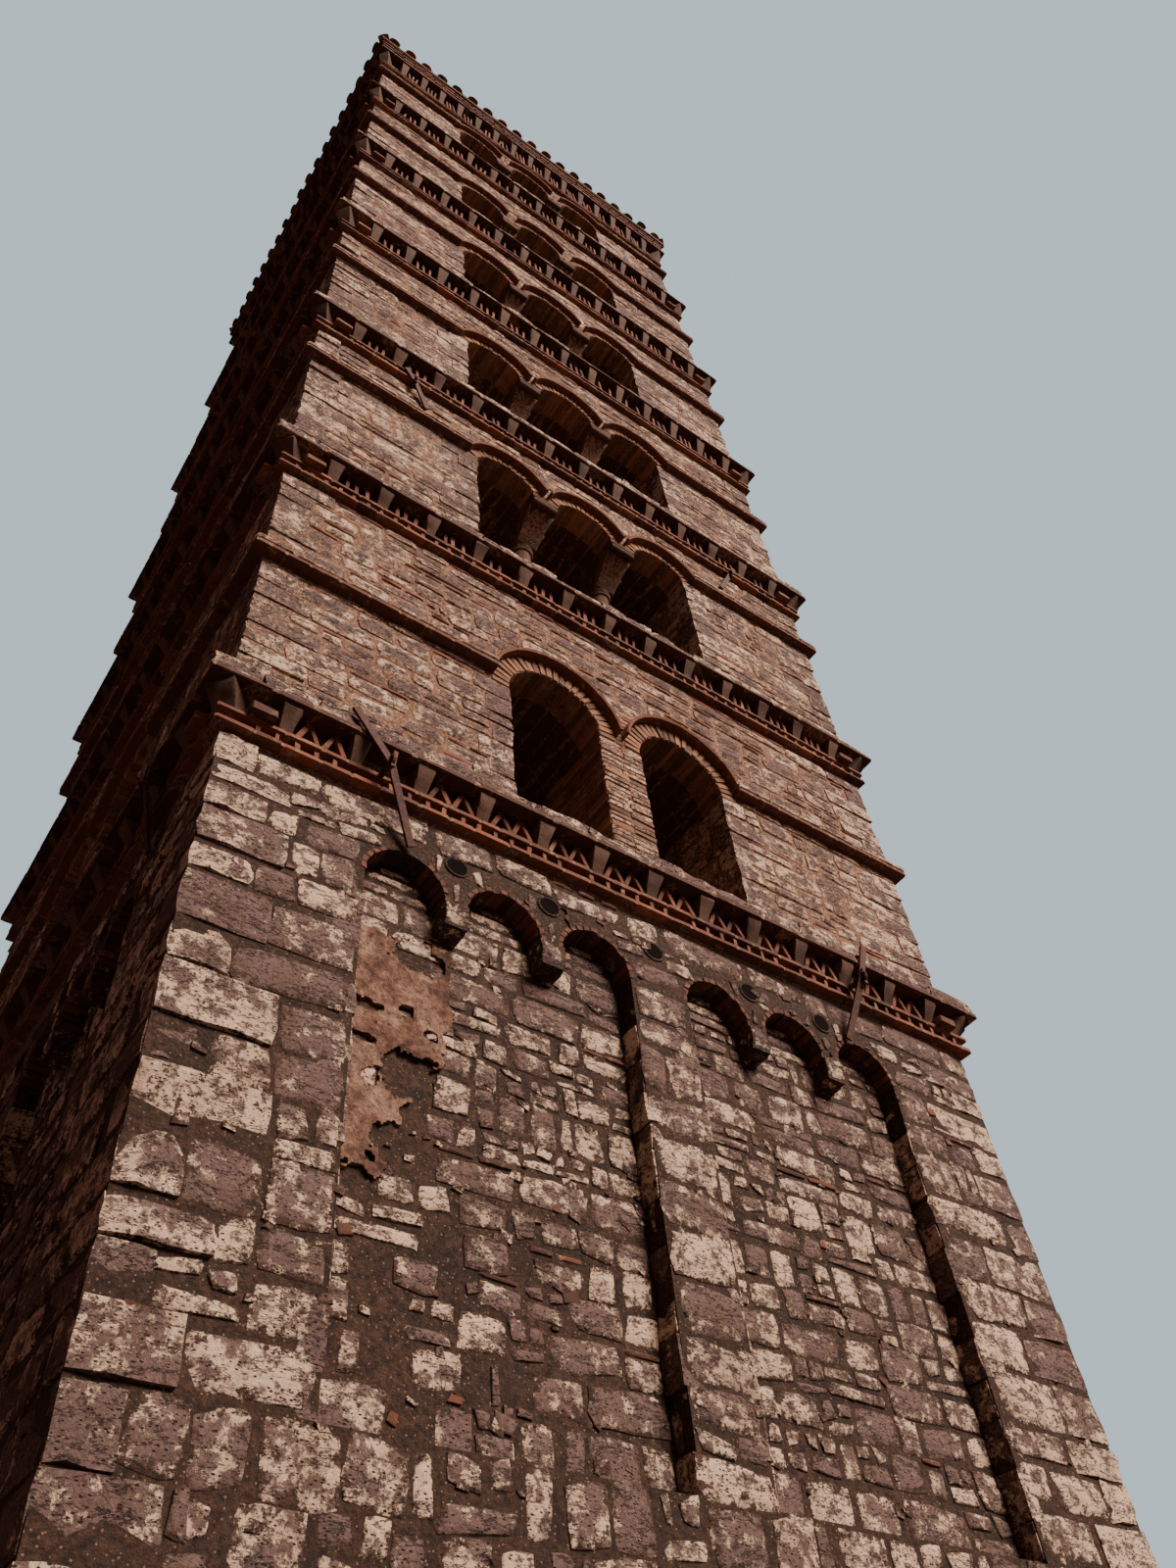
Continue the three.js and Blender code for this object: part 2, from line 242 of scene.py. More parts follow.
def start_material(name, roughness, metallic=0.0, specular=0.5):
    """A new material and its tree, with the constants of its shader set."""
    material = bpy.data.materials.new(name)
    material.use_nodes = True
    shader = find_shader(material)
    for socket, value in (
            ("Roughness", roughness), ("Metallic", metallic), ("Specular IOR Level", specular), ("IOR", 1.5)):
        shader.inputs[socket].default_value = value
    return material, material.node_tree


def find_shader(material):
    """The shader that a new material starts with."""
    return next(node for node in material.node_tree.nodes if node.type == "BSDF_PRINCIPLED")


def end_material(material, colour, bump=None):
    """Gives the material's shader its colour and its relief, and returns the material."""
    shader = find_shader(material)
    material.node_tree.links.new(colour, shader.inputs["Base Color"])
    if bump:
        material.node_tree.links.new(bump, shader.inputs["Normal"])
    return material


def shade(colour, *factors):
    """The colour made darker or paler, by one factor or by one for each channel."""
    return tuple(min(1, c * k) for c, k in zip(colour, factors * (3 // len(factors))))


def grey_stops(low, high):
    """Stops of a ramp that goes from black to white between two values."""
    return [(low, (0, 0, 0)), (high, (1, 1, 1))]


def weathered_limestone(name, crust, core, joint, bare, rimmed, pitted):
    """Porous limestone, split by hand and long in the weather: crisp flakes of pale lime crust over a
    smoother grey-violet heart, black pits a few centimetres apart, fully matt."""
    material, tree = start_material(name, 0.92)
    place = add(tree, "TexCoord", output="Object")
    tone = add(tree, "Attribute", output="Fac", attribute_name="tone")
    rim = add(tree, "Attribute", output="Fac", attribute_name="rim")
    # Flakes of crust are 40 to 150 mm across, broad weathering of the wall about 1.5 m
    flakes = add(tree, "TexNoise", {"Vector": place, "Scale": 8.0, "Detail": 9.0, "Roughness": 0.76})
    broad = add(tree, "TexNoise", {"Vector": place, "Scale": 0.7, "Detail": 4.0, "Roughness": 0.6})
    own = add(tree, "Math", {0: tone, 1: 0.16, 2: flakes}, operation="MULTIPLY_ADD")
    edged = add(tree, "Math", {0: rim, 1: rimmed, 2: own}, operation="MULTIPLY_ADD")
    aged = add(tree, "Math", {0: broad, 1: 0.3, 2: edged}, operation="MULTIPLY_ADD")
    crusted = add(tree, "MapRange", {"Value": aged, "From Min": bare, "From Max": bare + 0.05})
    grain = add(tree, "TexNoise", {"Vector": place, "Scale": 48.0, "Detail": 6.0, "Roughness": 0.8})
    heart = add(tree, "ValToRGB", {0: grain}, stops=[
        (0.34, shade(core, 0.35)), (0.5, core), (0.68, shade(core, 1.55))])
    shell = add(tree, "ValToRGB", {0: grain}, stops=[
        (0.33, shade(crust, 0.4)), (0.46, shade(crust, 0.86)), (0.62, crust)])
    face = add(tree, "Mix", {0: crusted, MIX_A: heart, MIX_B: shell}, **MIX)
    # A brown film of dirt lies in patches of 200 to 500 mm
    film = add(tree, "TexNoise", {"Vector": place, "Scale": 2.4, "Detail": 8.0, "Roughness": 0.72})
    filmed = add(tree, "MapRange", {"Value": film, "From Min": 0.5, "From Max": 0.68, "To Max": 0.62})
    dirty = add(tree, "Mix", {0: filmed, MIX_A: face, MIX_B: linear("#5A4334")}, **MIX)
    # At its rim a stone is smeared with the mortar of its joints
    smears = add(tree, "TexNoise", {"Vector": place, "Scale": 17.0, "Detail": 7.0, "Roughness": 0.75})
    reach = add(tree, "Math", {0: rim, 1: 0.3, 2: smears}, operation="MULTIPLY_ADD")
    smeared = add(tree, "MapRange", {"Value": reach, "From Min": 0.72, "From Max": 0.75})
    bedded = add(tree, "Mix", {0: smeared, MIX_A: dirty, MIX_B: joint}, **MIX)
    # Pits are 10 to 35 mm wide, lie along the bed of the stone and come in clusters
    bed = add(tree, "Mapping", {"Vector": place, "Scale": (1.0, 1.0, 1.8)})
    cells = add(tree, "TexVoronoi", {"Vector": bed, "Scale": 27.0, "Randomness": 1.0})
    ragged = add(tree, "TexNoise", {"Vector": bed, "Scale": 14.0, "Detail": 6.0, "Roughness": 0.75})
    eaten = add(tree, "Math", {0: cells, 1: ragged}, operation="MULTIPLY")
    holed = add(tree, "MapRange", {"Value": eaten, "From Min": pitted, "From Max": pitted + 0.06})
    # Cracks follow the layers of the stone, 100 to 300 mm apart
    layers = add(tree, "Mapping", {"Vector": place, "Scale": (1.0, 1.0, 3.6)})
    veins = add(tree, "TexNoise", {"Vector": layers, "Scale": 2.6, "Detail": 9.0, "Roughness": 0.66})
    off = add(tree, "Math", {0: veins, 1: 0.5}, operation="SUBTRACT")
    width = add(tree, "Math", {0: off}, operation="ABSOLUTE")
    cracks = add(tree, "MapRange", {"Value": width, "From Min": 0.002, "From Max": 0.012})
    pits = add(tree, "Math", {0: holed, 1: cracks}, operation="MINIMUM")
    holes = add(tree, "Mix", {0: pits, MIX_A: linear("#2A1812"), MIX_B: bedded}, **MIX)
    relief = add(tree, "Math", {0: crusted, 1: 0.45, 2: pits}, operation="MULTIPLY_ADD")
    fine = add(tree, "Math", {0: grain, 1: 0.9, 2: relief}, operation="MULTIPLY_ADD")
    bump = add(tree, "Bump", {"Height": fine, "Distance": 0.022, "Strength": 1.0})
    return end_material(material, holes, bump)


def lime_mortar(name, colour, stain, speck):
    """Lime mortar with coarse sand and pebbles, trowelled and washed out by rain: lumpy, fully matt,
    with pale grains of lime and dark gaps where it has fallen out."""
    material, tree = start_material(name, 0.95)
    place = add(tree, "TexCoord", output="Object")
    # Lumps are about 30 mm, stains about 400 mm across
    lumps = add(tree, "TexNoise", {"Vector": place, "Scale": 26.0, "Detail": 6.0, "Roughness": 0.78})
    stains = add(tree, "TexNoise", {"Vector": place, "Scale": 2.6, "Detail": 8.0, "Roughness": 0.7})
    washed = add(tree, "ValToRGB", {0: stains}, stops=[
        (0.36, shade(colour, stain)),
        (0.5, colour),
        (0.68, shade(colour, 1.25)),
    ])
    gritty = add(tree, "ValToRGB", {0: lumps}, stops=[
        (0.38, linear("#5A5452")), (0.5, linear("#BEBAB6")), (0.62, linear("#FFFFFF"))])
    rough = add(tree, "Mix", {0: 1.0, MIX_A: washed, MIX_B: gritty}, blend_type="MULTIPLY", **MIX)
    # Grains of lime are 4 to 12 mm wide
    cells = add(tree, "TexVoronoi", {"Vector": place, "Scale": 33.0, "Randomness": 1.0})
    thinned = add(tree, "Math", {0: cells, 1: lumps}, operation="MULTIPLY")
    grains = add(tree, "MapRange", {"Value": thinned, "From Min": 0.1, "From Max": 0.06, "To Max": 0.8})
    flecked = add(tree, "Mix", {0: grains, MIX_A: rough, MIX_B: speck}, **MIX)
    height = add(tree, "Math", {0: lumps, 1: 1.4, 2: stains}, operation="MULTIPLY_ADD")
    bump = add(tree, "Bump", {"Height": height, "Distance": 0.022, "Strength": 1.0})
    return end_material(material, flecked, bump)


def fired_brick(name, colour):
    """Hand-moulded brick, fired unevenly: each brick its own red to orange, with lime smears and soot."""
    material, tree = start_material(name, 0.88)
    place = add(tree, "TexCoord", output="Object")
    tone = add(tree, "Attribute", output="Fac", attribute_name="tone")
    burn = add(tree, "ValToRGB", {0: tone}, stops=[
        (0.0, shade(colour, 0.38)),
        (0.4, shade(colour, 0.8)),
        (0.75, colour),
        (1.0, shade(colour, 1.45, 1.35, 1.25)),
    ])
    # Lime smears are 60 to 100 mm across, grit 5 mm
    smears = add(tree, "TexNoise", {"Vector": place, "Scale": 11.0, "Detail": 6.0, "Roughness": 0.7})
    limed = add(tree, "ValToRGB", {0: smears}, stops=grey_stops(0.56, 0.72))
    faint = add(tree, "Math", {0: limed, 1: 0.55}, operation="MULTIPLY")
    coated = add(tree, "Mix", {0: faint, MIX_A: burn, MIX_B: linear("#B59A7B")}, **MIX)
    soot = add(tree, "ValToRGB", {0: smears}, stops=grey_stops(0.28, 0.44))
    sooty = add(tree, "Mix", {0: soot, MIX_A: linear("#3A2118"), MIX_B: coated}, **MIX)
    grit = add(tree, "TexNoise", {"Vector": place, "Scale": 70.0, "Detail": 4.0, "Roughness": 0.7})
    height = add(tree, "Math", {0: smears, 1: 1.2, 2: grit}, operation="MULTIPLY_ADD")
    bump = add(tree, "Bump", {"Height": height, "Distance": 0.008, "Strength": 0.9})
    return end_material(material, sooty, bump)


def worn_marble(name, colour):
    """Reused white marble, chiselled and left to the weather: dull grey-beige with darker runs of soot."""
    material, tree = start_material(name, 0.85, specular=0.2)
    place = add(tree, "TexCoord", output="Object")
    tone = add(tree, "Attribute", output="Fac", attribute_name="tone")
    # Rain runs are 60 mm wide and four times as long
    runs = add(tree, "Mapping", {"Vector": place, "Scale": (1.0, 1.0, 0.25)})
    soot = add(tree, "TexNoise", {"Vector": runs, "Scale": 16.0, "Detail": 6.0, "Roughness": 0.68})
    mixed = add(tree, "Math", {0: tone, 1: 0.3, 2: soot}, operation="MULTIPLY_ADD")
    dirt = add(tree, "ValToRGB", {0: mixed}, stops=[
        (0.40, linear("#3A2E27")),
        (0.56, shade(colour, 0.72)),
        (0.72, colour),
        (0.92, shade(colour, 1.12)),
    ])
    grain = add(tree, "TexNoise", {"Vector": place, "Scale": 48.0, "Detail": 5.0, "Roughness": 0.7})
    speckled = add(tree, "Mix", {0: 0.5, MIX_A: dirt, MIX_B: grain}, blend_type="OVERLAY", **MIX)
    height = add(tree, "Math", {0: soot, 1: 1.0, 2: grain}, operation="MULTIPLY_ADD")
    bump = add(tree, "Bump", {"Height": height, "Distance": 0.006, "Strength": 0.8})
    return end_material(material, speckled, bump)


def roof_terracotta(name, colour):
    """Hand-made roof tile, fired and weathered: brown-red, each its own shade, with grey-yellow lichen."""
    material, tree = start_material(name, 0.85)
    place = add(tree, "TexCoord", output="Object")
    tone = add(tree, "Attribute", output="Fac", attribute_name="tone")
    burn = add(tree, "ValToRGB", {0: tone}, stops=[
        (0.0, shade(colour, 0.5)),
        (0.55, colour),
        (1.0, shade(colour, 1.5)),
    ])
    # Lichen spots are 30 to 90 mm across
    spots = add(tree, "TexNoise", {"Vector": place, "Scale": 13.0, "Detail": 7.0, "Roughness": 0.75})
    cover = add(tree, "ValToRGB", {0: spots}, stops=grey_stops(0.54, 0.66))
    thin = add(tree, "Math", {0: cover, 1: 0.7}, operation="MULTIPLY")
    grown = add(tree, "Mix", {0: thin, MIX_A: burn, MIX_B: linear("#8C8468")}, **MIX)
    bump = add(tree, "Bump", {"Height": spots, "Distance": 0.01, "Strength": 0.8})
    return end_material(material, grown, bump)


def rusty_iron(name, colour):
    """Wrought iron, hammered and rusted through the scale: dull red-brown, flaking, hardly any shine."""
    material, tree = start_material(name, 0.75, metallic=0.35)
    place = add(tree, "TexCoord", output="Object")
    # Rust flakes are about 25 mm across
    flakes = add(tree, "TexNoise", {"Vector": place, "Scale": 38.0, "Detail": 6.0, "Roughness": 0.7})
    rusted = add(tree, "ValToRGB", {0: flakes}, stops=[
        (0.35, shade(colour, 0.4)),
        (0.5, colour),
        (0.7, linear("#6A3A26")),
    ])
    bump = add(tree, "Bump", {"Height": flakes, "Distance": 0.004, "Strength": 0.9})
    return end_material(material, rusted, bump)


def old_oak(name):
    """Old oak boards, sawn and gone grey-brown with dust: grain along the board, matt."""
    material, tree = start_material(name, 0.8)
    place = add(tree, "TexCoord", output="Object")
    # Boards are 200 mm wide, their grain is 15 mm wide and long along the board
    along = add(tree, "Mapping", {"Vector": place, "Scale": (1.0, 12.0, 1.0)})
    grain = add(tree, "TexNoise", {"Vector": along, "Scale": 5.0, "Detail": 6.0, "Roughness": 0.65})
    wood = add(tree, "ValToRGB", {0: grain}, stops=[
        (0.3, linear("#33241A")), (0.55, linear("#6B513B")), (0.75, linear("#8B7358"))])
    bump = add(tree, "Bump", {"Height": grain, "Distance": 0.004, "Strength": 0.8})
    return end_material(material, wood, bump)


def old_plaster(name):
    """Remains of lime plaster, trowelled on over the stones: pinkish beige, stained, gently uneven."""
    material, tree = start_material(name, 0.9)
    place = add(tree, "TexCoord", output="Object")
    # Stains are 250 mm across, trowel marks 40 mm
    stains = add(tree, "TexNoise", {"Vector": place, "Scale": 4.0, "Detail": 8.0, "Roughness": 0.7})
    colour = add(tree, "ValToRGB", {0: stains}, stops=[
        (0.38, linear("#5F3F2F")), (0.5, linear("#98725B")), (0.6, linear("#BE9C84"))])
    marks = add(tree, "TexNoise", {"Vector": place, "Scale": 24.0, "Detail": 9.0, "Roughness": 0.8})
    grit = add(tree, "ValToRGB", {0: marks}, stops=[
        (0.36, linear("#4A403A")), (0.46, linear("#C4BEBA")), (0.6, linear("#FFFFFF"))])
    gritty = add(tree, "Mix", {0: 1.0, MIX_A: colour, MIX_B: grit}, blend_type="MULTIPLY", **MIX)
    bump = add(tree, "Bump", {"Height": marks, "Distance": 0.05, "Strength": 1.0})
    return end_material(material, gritty, bump)


def soot_and_hole_shade(name):
    """Soot and shade at the bottom of a hole in the wall: near black and fully matt."""
    material, tree = start_material(name, 1.0, specular=0.1)
    place = add(tree, "TexCoord", output="Object")
    dust = add(tree, "TexNoise", {"Vector": place, "Scale": 20.0, "Detail": 3.0})
    dark = add(tree, "ValToRGB", {0: dust}, stops=[
        (0.3, linear("#060302")), (0.8, linear("#0E0705"))])
    return end_material(material, dark)


@cache
def finishes():
    """All finishes of the tower by a short name, made once."""
    colours = bpy.context.scene.tower_colours
    crust, core, mortar, clay = (
        tuple(colour) for colour in (colours.crust, colours.core, colours.mortar, colours.clay))
    dark_mortar = tuple(colours.foot_mortar)
    return {
        "stone": weathered_limestone("weathered_limestone", crust, core, mortar, 0.81, 0.17, 0.095),
        "rubble": weathered_limestone("split_limestone_rubble", crust, core, dark_mortar, 0.74, 0.05, 0.07),
        "mortar": lime_mortar("lime_mortar", mortar, 0.6, linear("#DCC8A8")),
        "foot_mortar": lime_mortar("dark_lime_mortar", dark_mortar, 0.5, linear("#8A735C")),
        "brick": fired_brick("hand_moulded_brick", clay),
        # The darker brick is old sooty brick in the walls, and also, at a low tone, painted shade on the
        # soffits of the windows.
        "old_brick_and_soffit_shade": fired_brick("sooty_brick_and_painted_soffit_shade", shade(clay, 0.6)),
        "arch_brick": fired_brick("lichened_arch_brick", tuple(colours.arch_clay)),
        "marble": worn_marble("worn_marble", tuple(colours.marble)),
        "tile": roof_terracotta("weathered_terracotta", tuple(colours.tile)),
        "iron": rusty_iron("rusted_wrought_iron", tuple(colours.rust)),
        "oak": old_oak("old_oak_boards"),
        "plaster": old_plaster("old_lime_plaster"),
        # Soot and painted shade: the near-black disc stands for the depth of the holes, which are not cut
        # into the wall.
        "soot": soot_and_hole_shade("soot_and_painted_hole_shade"),
    }


# Models of what repeats, made once with the modelling operators

class Model(NamedTuple):
    """A small mesh to copy: its points, the corners of its faces, and how near each point is to its rim."""

    points: np.ndarray
    corners: np.ndarray
    counts: np.ndarray
    rim: np.ndarray


def deselect_all():
    bpy.ops.object.select_all(action="DESELECT")


def bring_in(name, mesh):
    """A new object with this mesh, active and alone selected."""
    made = bpy.data.objects.new(name, mesh)
    bpy.context.scene.collection.objects.link(made)
    deselect_all()
    made.select_set(True)
    bpy.context.view_layer.objects.active = made
    return made


def apply_place():
    bpy.ops.object.transform_apply(location=True, rotation=True, scale=True)


def pick(mode, test):
    """Selects in edit mode the faces, edges or points of the active mesh that pass a test."""
    bpy.ops.object.mode_set(mode="EDIT")
    bpy.ops.mesh.select_mode(type=mode)
    bpy.ops.mesh.select_all(action="DESELECT")
    bpy.ops.object.mode_set(mode="OBJECT")
    mesh = bpy.context.object.data
    if mode == "FACE":
        for face in mesh.polygons:
            face.select = test(face.center, face.normal)
    elif mode == "EDGE":
        for edge in mesh.edges:
            ends = [mesh.vertices[i].co for i in edge.vertices]
            edge.select = test(*ends)
    else:
        for point in mesh.vertices:
            point.select = test(point.co)
    bpy.ops.object.mode_set(mode="EDIT")


def take_model():
    """Turns the active object into a model and removes it."""
    if bpy.context.object.mode != "OBJECT":
        bpy.ops.object.mode_set(mode="OBJECT")
    made = bpy.context.object
    mesh = made.data
    points = np.zeros(len(mesh.vertices) * 3)
    mesh.vertices.foreach_get("co", points)
    points = points.reshape(-1, 3)
    corners = np.zeros(len(mesh.loops), int)
    mesh.loops.foreach_get("vertex_index", corners)
    counts = np.zeros(len(mesh.polygons), int)
    mesh.polygons.foreach_get("loop_total", counts)
    bpy.data.objects.remove(made)
    reach = np.abs(points).max(0) + 1e-9
    rim = np.maximum(np.abs(points[:, 0]) / reach[0], np.abs(points[:, 2]) / reach[2]) ** 2
    return Model(points, corners, counts, rim)


def stand_grid(columns, rows):
    """An upright grid one unit each way, drawn back into the wall and closed behind."""
    deselect_all()
    bpy.ops.mesh.primitive_grid_add(
        x_subdivisions=columns, y_subdivisions=rows, size=1, rotation=(math.pi / 2, 0, 0))
    apply_place()
    pick("FACE", lambda centre, normal: True)
    bpy.ops.mesh.extrude_region_move(TRANSFORM_OT_translate={"value": (0, 1, 0)})
    bpy.ops.mesh.dissolve_faces()
    bpy.ops.mesh.select_all(action="SELECT")
    bpy.ops.mesh.normals_make_consistent(inside=False)


def shape_stone(columns, rows, seed):
    """A stone seen from the front, one unit wide and high: rough face, broken arrises, hidden tail."""
    stand_grid(columns, rows)
    pick("EDGE", lambda a, b: max(a.y, b.y) < 0.1 and (
        (abs(a.x) > 0.49 and abs(b.x) > 0.49 and a.x * b.x > 0)
        or (abs(a.z) > 0.49 and abs(b.z) > 0.49 and a.z * b.z > 0)))
    bpy.ops.mesh.bevel(offset=0.07, segments=1)
    # The hidden tail keeps four points
    for right in (False, True):
        for upper in (False, True):
            pick("VERT", lambda point: (
                point.y > 0.5 and (point.x > 0.01) == right and (point.z > 0.01) == upper))
            bpy.ops.mesh.merge(type="CENTER")
    pick("VERT", lambda point: point.y < 0.5)
    bpy.ops.transform.vertex_random(offset=0.06, seed=seed)
    model = take_model()
    x, y, z = model.points.T
    # Round the corners and let the face swell
    squeeze, swell = 0.14, 0.12
    model.points[:, 0] = x * (1 - squeeze * (2 * z) ** 4 / 2)
    model.points[:, 2] = z * (1 - squeeze * (2 * x) ** 4 / 2)
    bulge = np.clip(1 - (2 * x) ** 2, 0, 1) * np.clip(1 - (2 * z) ** 2, 0, 1)
    model.points[:, 1] = y - swell * bulge * (y < 0.5)
    return model


def shape_block(cuts, seed):
    """A block that shows at a corner: a cube with worn arrises and a slightly rough face."""
    deselect_all()
    bpy.ops.mesh.primitive_cube_add(size=1)
    pick("FACE", lambda centre, normal: True)
    bpy.ops.mesh.subdivide(number_cuts=cuts)
    bpy.ops.mesh.select_all(action="SELECT")
    bpy.ops.transform.tosphere(value=0.06)
    bpy.ops.transform.vertex_random(offset=0.03, seed=seed)
    model = take_model()
    return model._replace(rim=model.rim * 0.55)


def shape_brick():
    """A brick one unit each way, its front arrises worn."""
    deselect_all()
    bpy.ops.mesh.primitive_cube_add(size=1)
    pick("EDGE", lambda a, b: a.y < -0.4 and b.y < -0.4)
    bpy.ops.mesh.bevel(offset=0.06, segments=1)
    return take_model()


def shape_bracket():
    """A stone bracket one unit each way: square head over a face that leans back to a narrower foot."""
    deselect_all()
    bpy.ops.mesh.primitive_cube_add(size=1)
    for height in (-0.1, 0.3):
        pick("FACE", lambda centre, normal: True)
        bpy.ops.mesh.bisect(plane_co=(0, 0, height), plane_no=(0, 0, 1))
    for height, push, width in ((-0.5, 0.34, 0.68), (-0.1, 0.2, 0.81)):
        pick("VERT", lambda point: abs(point.z - height) < 0.01 and point.y < 0)
        bpy.ops.transform.translate(value=(0, push, 0))
        bpy.ops.transform.resize(value=(width, 1, 1))
    pick("EDGE", lambda a, b: min(a.y, b.y) < 0.3 and abs(a.x - b.x) < 0.1 and abs(a.x) > 0.3)
    bpy.ops.mesh.bevel(offset=0.04, segments=1)
    return take_model()


def shape_tile():
    """A half-round cover tile one unit each way: a tapering shell with its crown up and real thickness."""
    deselect_all()
    bpy.ops.mesh.primitive_cylinder_add(
        vertices=12, radius=0.5, depth=1, end_fill_type="NOTHING", rotation=(math.pi / 2, math.pi / 12, 0))
    apply_place()
    pick("FACE", lambda centre, normal: centre.z < 0.02)
    bpy.ops.mesh.delete(type="FACE")
    pick("VERT", lambda point: point.y > 0)
    bpy.ops.transform.resize(value=(0.82, 1, 0.82), center_override=(0, 0.5, 0))
    bpy.ops.object.mode_set(mode="OBJECT")
    shell = bpy.context.object.modifiers.new("thickness", "SOLIDIFY")
    shell.thickness = 0.06
    shell.offset = -1
    bpy.ops.object.modifier_apply(modifier=shell.name)
    return take_model()


def spin_section(points, edges, faces, steps, sweep, axis):
    """Spins a section about an axis through the origin, and returns the closed model."""
    mesh = bpy.data.meshes.new("section")
    mesh.from_pydata(points, edges, faces)
    bring_in("section", mesh)
    bpy.ops.object.mode_set(mode="EDIT")
    bpy.ops.mesh.select_all(action="SELECT")
    bpy.ops.mesh.spin(steps=steps, angle=sweep, center=(0, 0, 0), axis=axis)
    bpy.ops.mesh.select_all(action="SELECT")
    bpy.ops.mesh.remove_doubles(threshold=1e-4)
    bpy.ops.mesh.normals_make_consistent(inside=False)
    return take_model()


def spin_profile(profile, steps):
    """Spins a profile of (radius, height) points right round the Z axis."""
    points = [(radius, 0, height) for radius, height in profile]
    return spin_section(points, [(i, i + 1) for i in range(len(profile) - 1)], [], steps, math.tau, (0, 0, 1))


def shape_hood(storey):
    """A moulding of square section that stands over an arch from string to string, its ends closed."""
    inner, outer, front, back = storey.ring, storey.ring + 0.034, STRING_OUT, 0.02
    start = math.asin((storey.string - storey.arc.z) / inner)
    section = [
        (inner, -front + 0.01), (outer - 0.01, -front), (outer, -front + 0.012), (outer, back), (inner, back)]
    points = [(r * math.cos(start), y, r * math.sin(start)) for r, y in section]
    return spin_section(points, [], [(0, 1, 2, 3, 4)], 16, math.pi - 2 * start, (0, 1, 0))


def tipped(model, axis):
    """The model turned a quarter about an axis."""
    return model._replace(points=model.points @ np.array(Matrix.Rotation(math.pi / 2, 3, axis)).T)


def flipped(model):
    """The same model for a size that is negative in height: its faces run the other way round."""
    corners = []
    start = 0
    for count in model.counts:
        corners.append(model.corners[start : start + count][::-1])
        start += count
    return model._replace(corners=np.concatenate(corners))


class Kit(NamedTuple):
    """The models that several pieces share."""

    stones: list
    small_stones: list
    block: Model
    big_block: Model
    brick: Model
    bracket: Model


@cache
def kit():
    """The shared models, shaped once."""
    return Kit(
        [shape_stone(4, 3, seed) for seed in (1, 2, 3, 4)],
        [shape_stone(3, 2, seed) for seed in (5, 6, 7)],
        shape_block(1, 8), shape_block(2, 9), shape_brick(), shape_bracket())


# Walls and how copies are set on them

class Wall(NamedTuple):
    """A plane of masonry. X runs along it, -Y looks out of it and Z is up."""

    turn: np.ndarray
    origin: np.ndarray


def about_z(angle):
    return np.array(Matrix.Rotation(angle, 3, "Z"))


def face_wall(side, out=0.0):
    """One of the four faces: 0 front, 1 right, 2 back, 3 left."""
    turn = about_z(side * math.pi / 2)
    return Wall(turn, turn @ np.array([0, -HALF - out, 0]))


def reveal_wall(side, x, looks, depth):
    """The side of an opening at x, which looks along +X (1) or -X (-1) of its face."""
    face = about_z(side * math.pi / 2)
    start = -HALF if looks > 0 else -HALF + depth
    return Wall(face @ about_z(looks * math.pi / 2), face @ np.array([x, start, 0]))


def turned(points, angles, axis):
    """Turns each copy about its own middle."""
    c, s = np.cos(angles)[:, None], np.sin(angles)[:, None]
    x, y, z = points[..., 0], points[..., 1], points[..., 2]
    if axis == "Z":
        return np.stack([x * c - y * s, x * s + y * c, z], -1)
    return np.stack([x * c + z * s, y, z * c - x * s], -1)


def spread(x, y, z):
    """Rows of x, y and z, each of them one number or one for each copy."""
    return np.stack(np.broadcast_arrays(x, y, z), -1)


def centred(count, step):
    """Places along a side, one step apart, about its middle."""
    return (np.arange(count) - (count - 1) / 2) * step


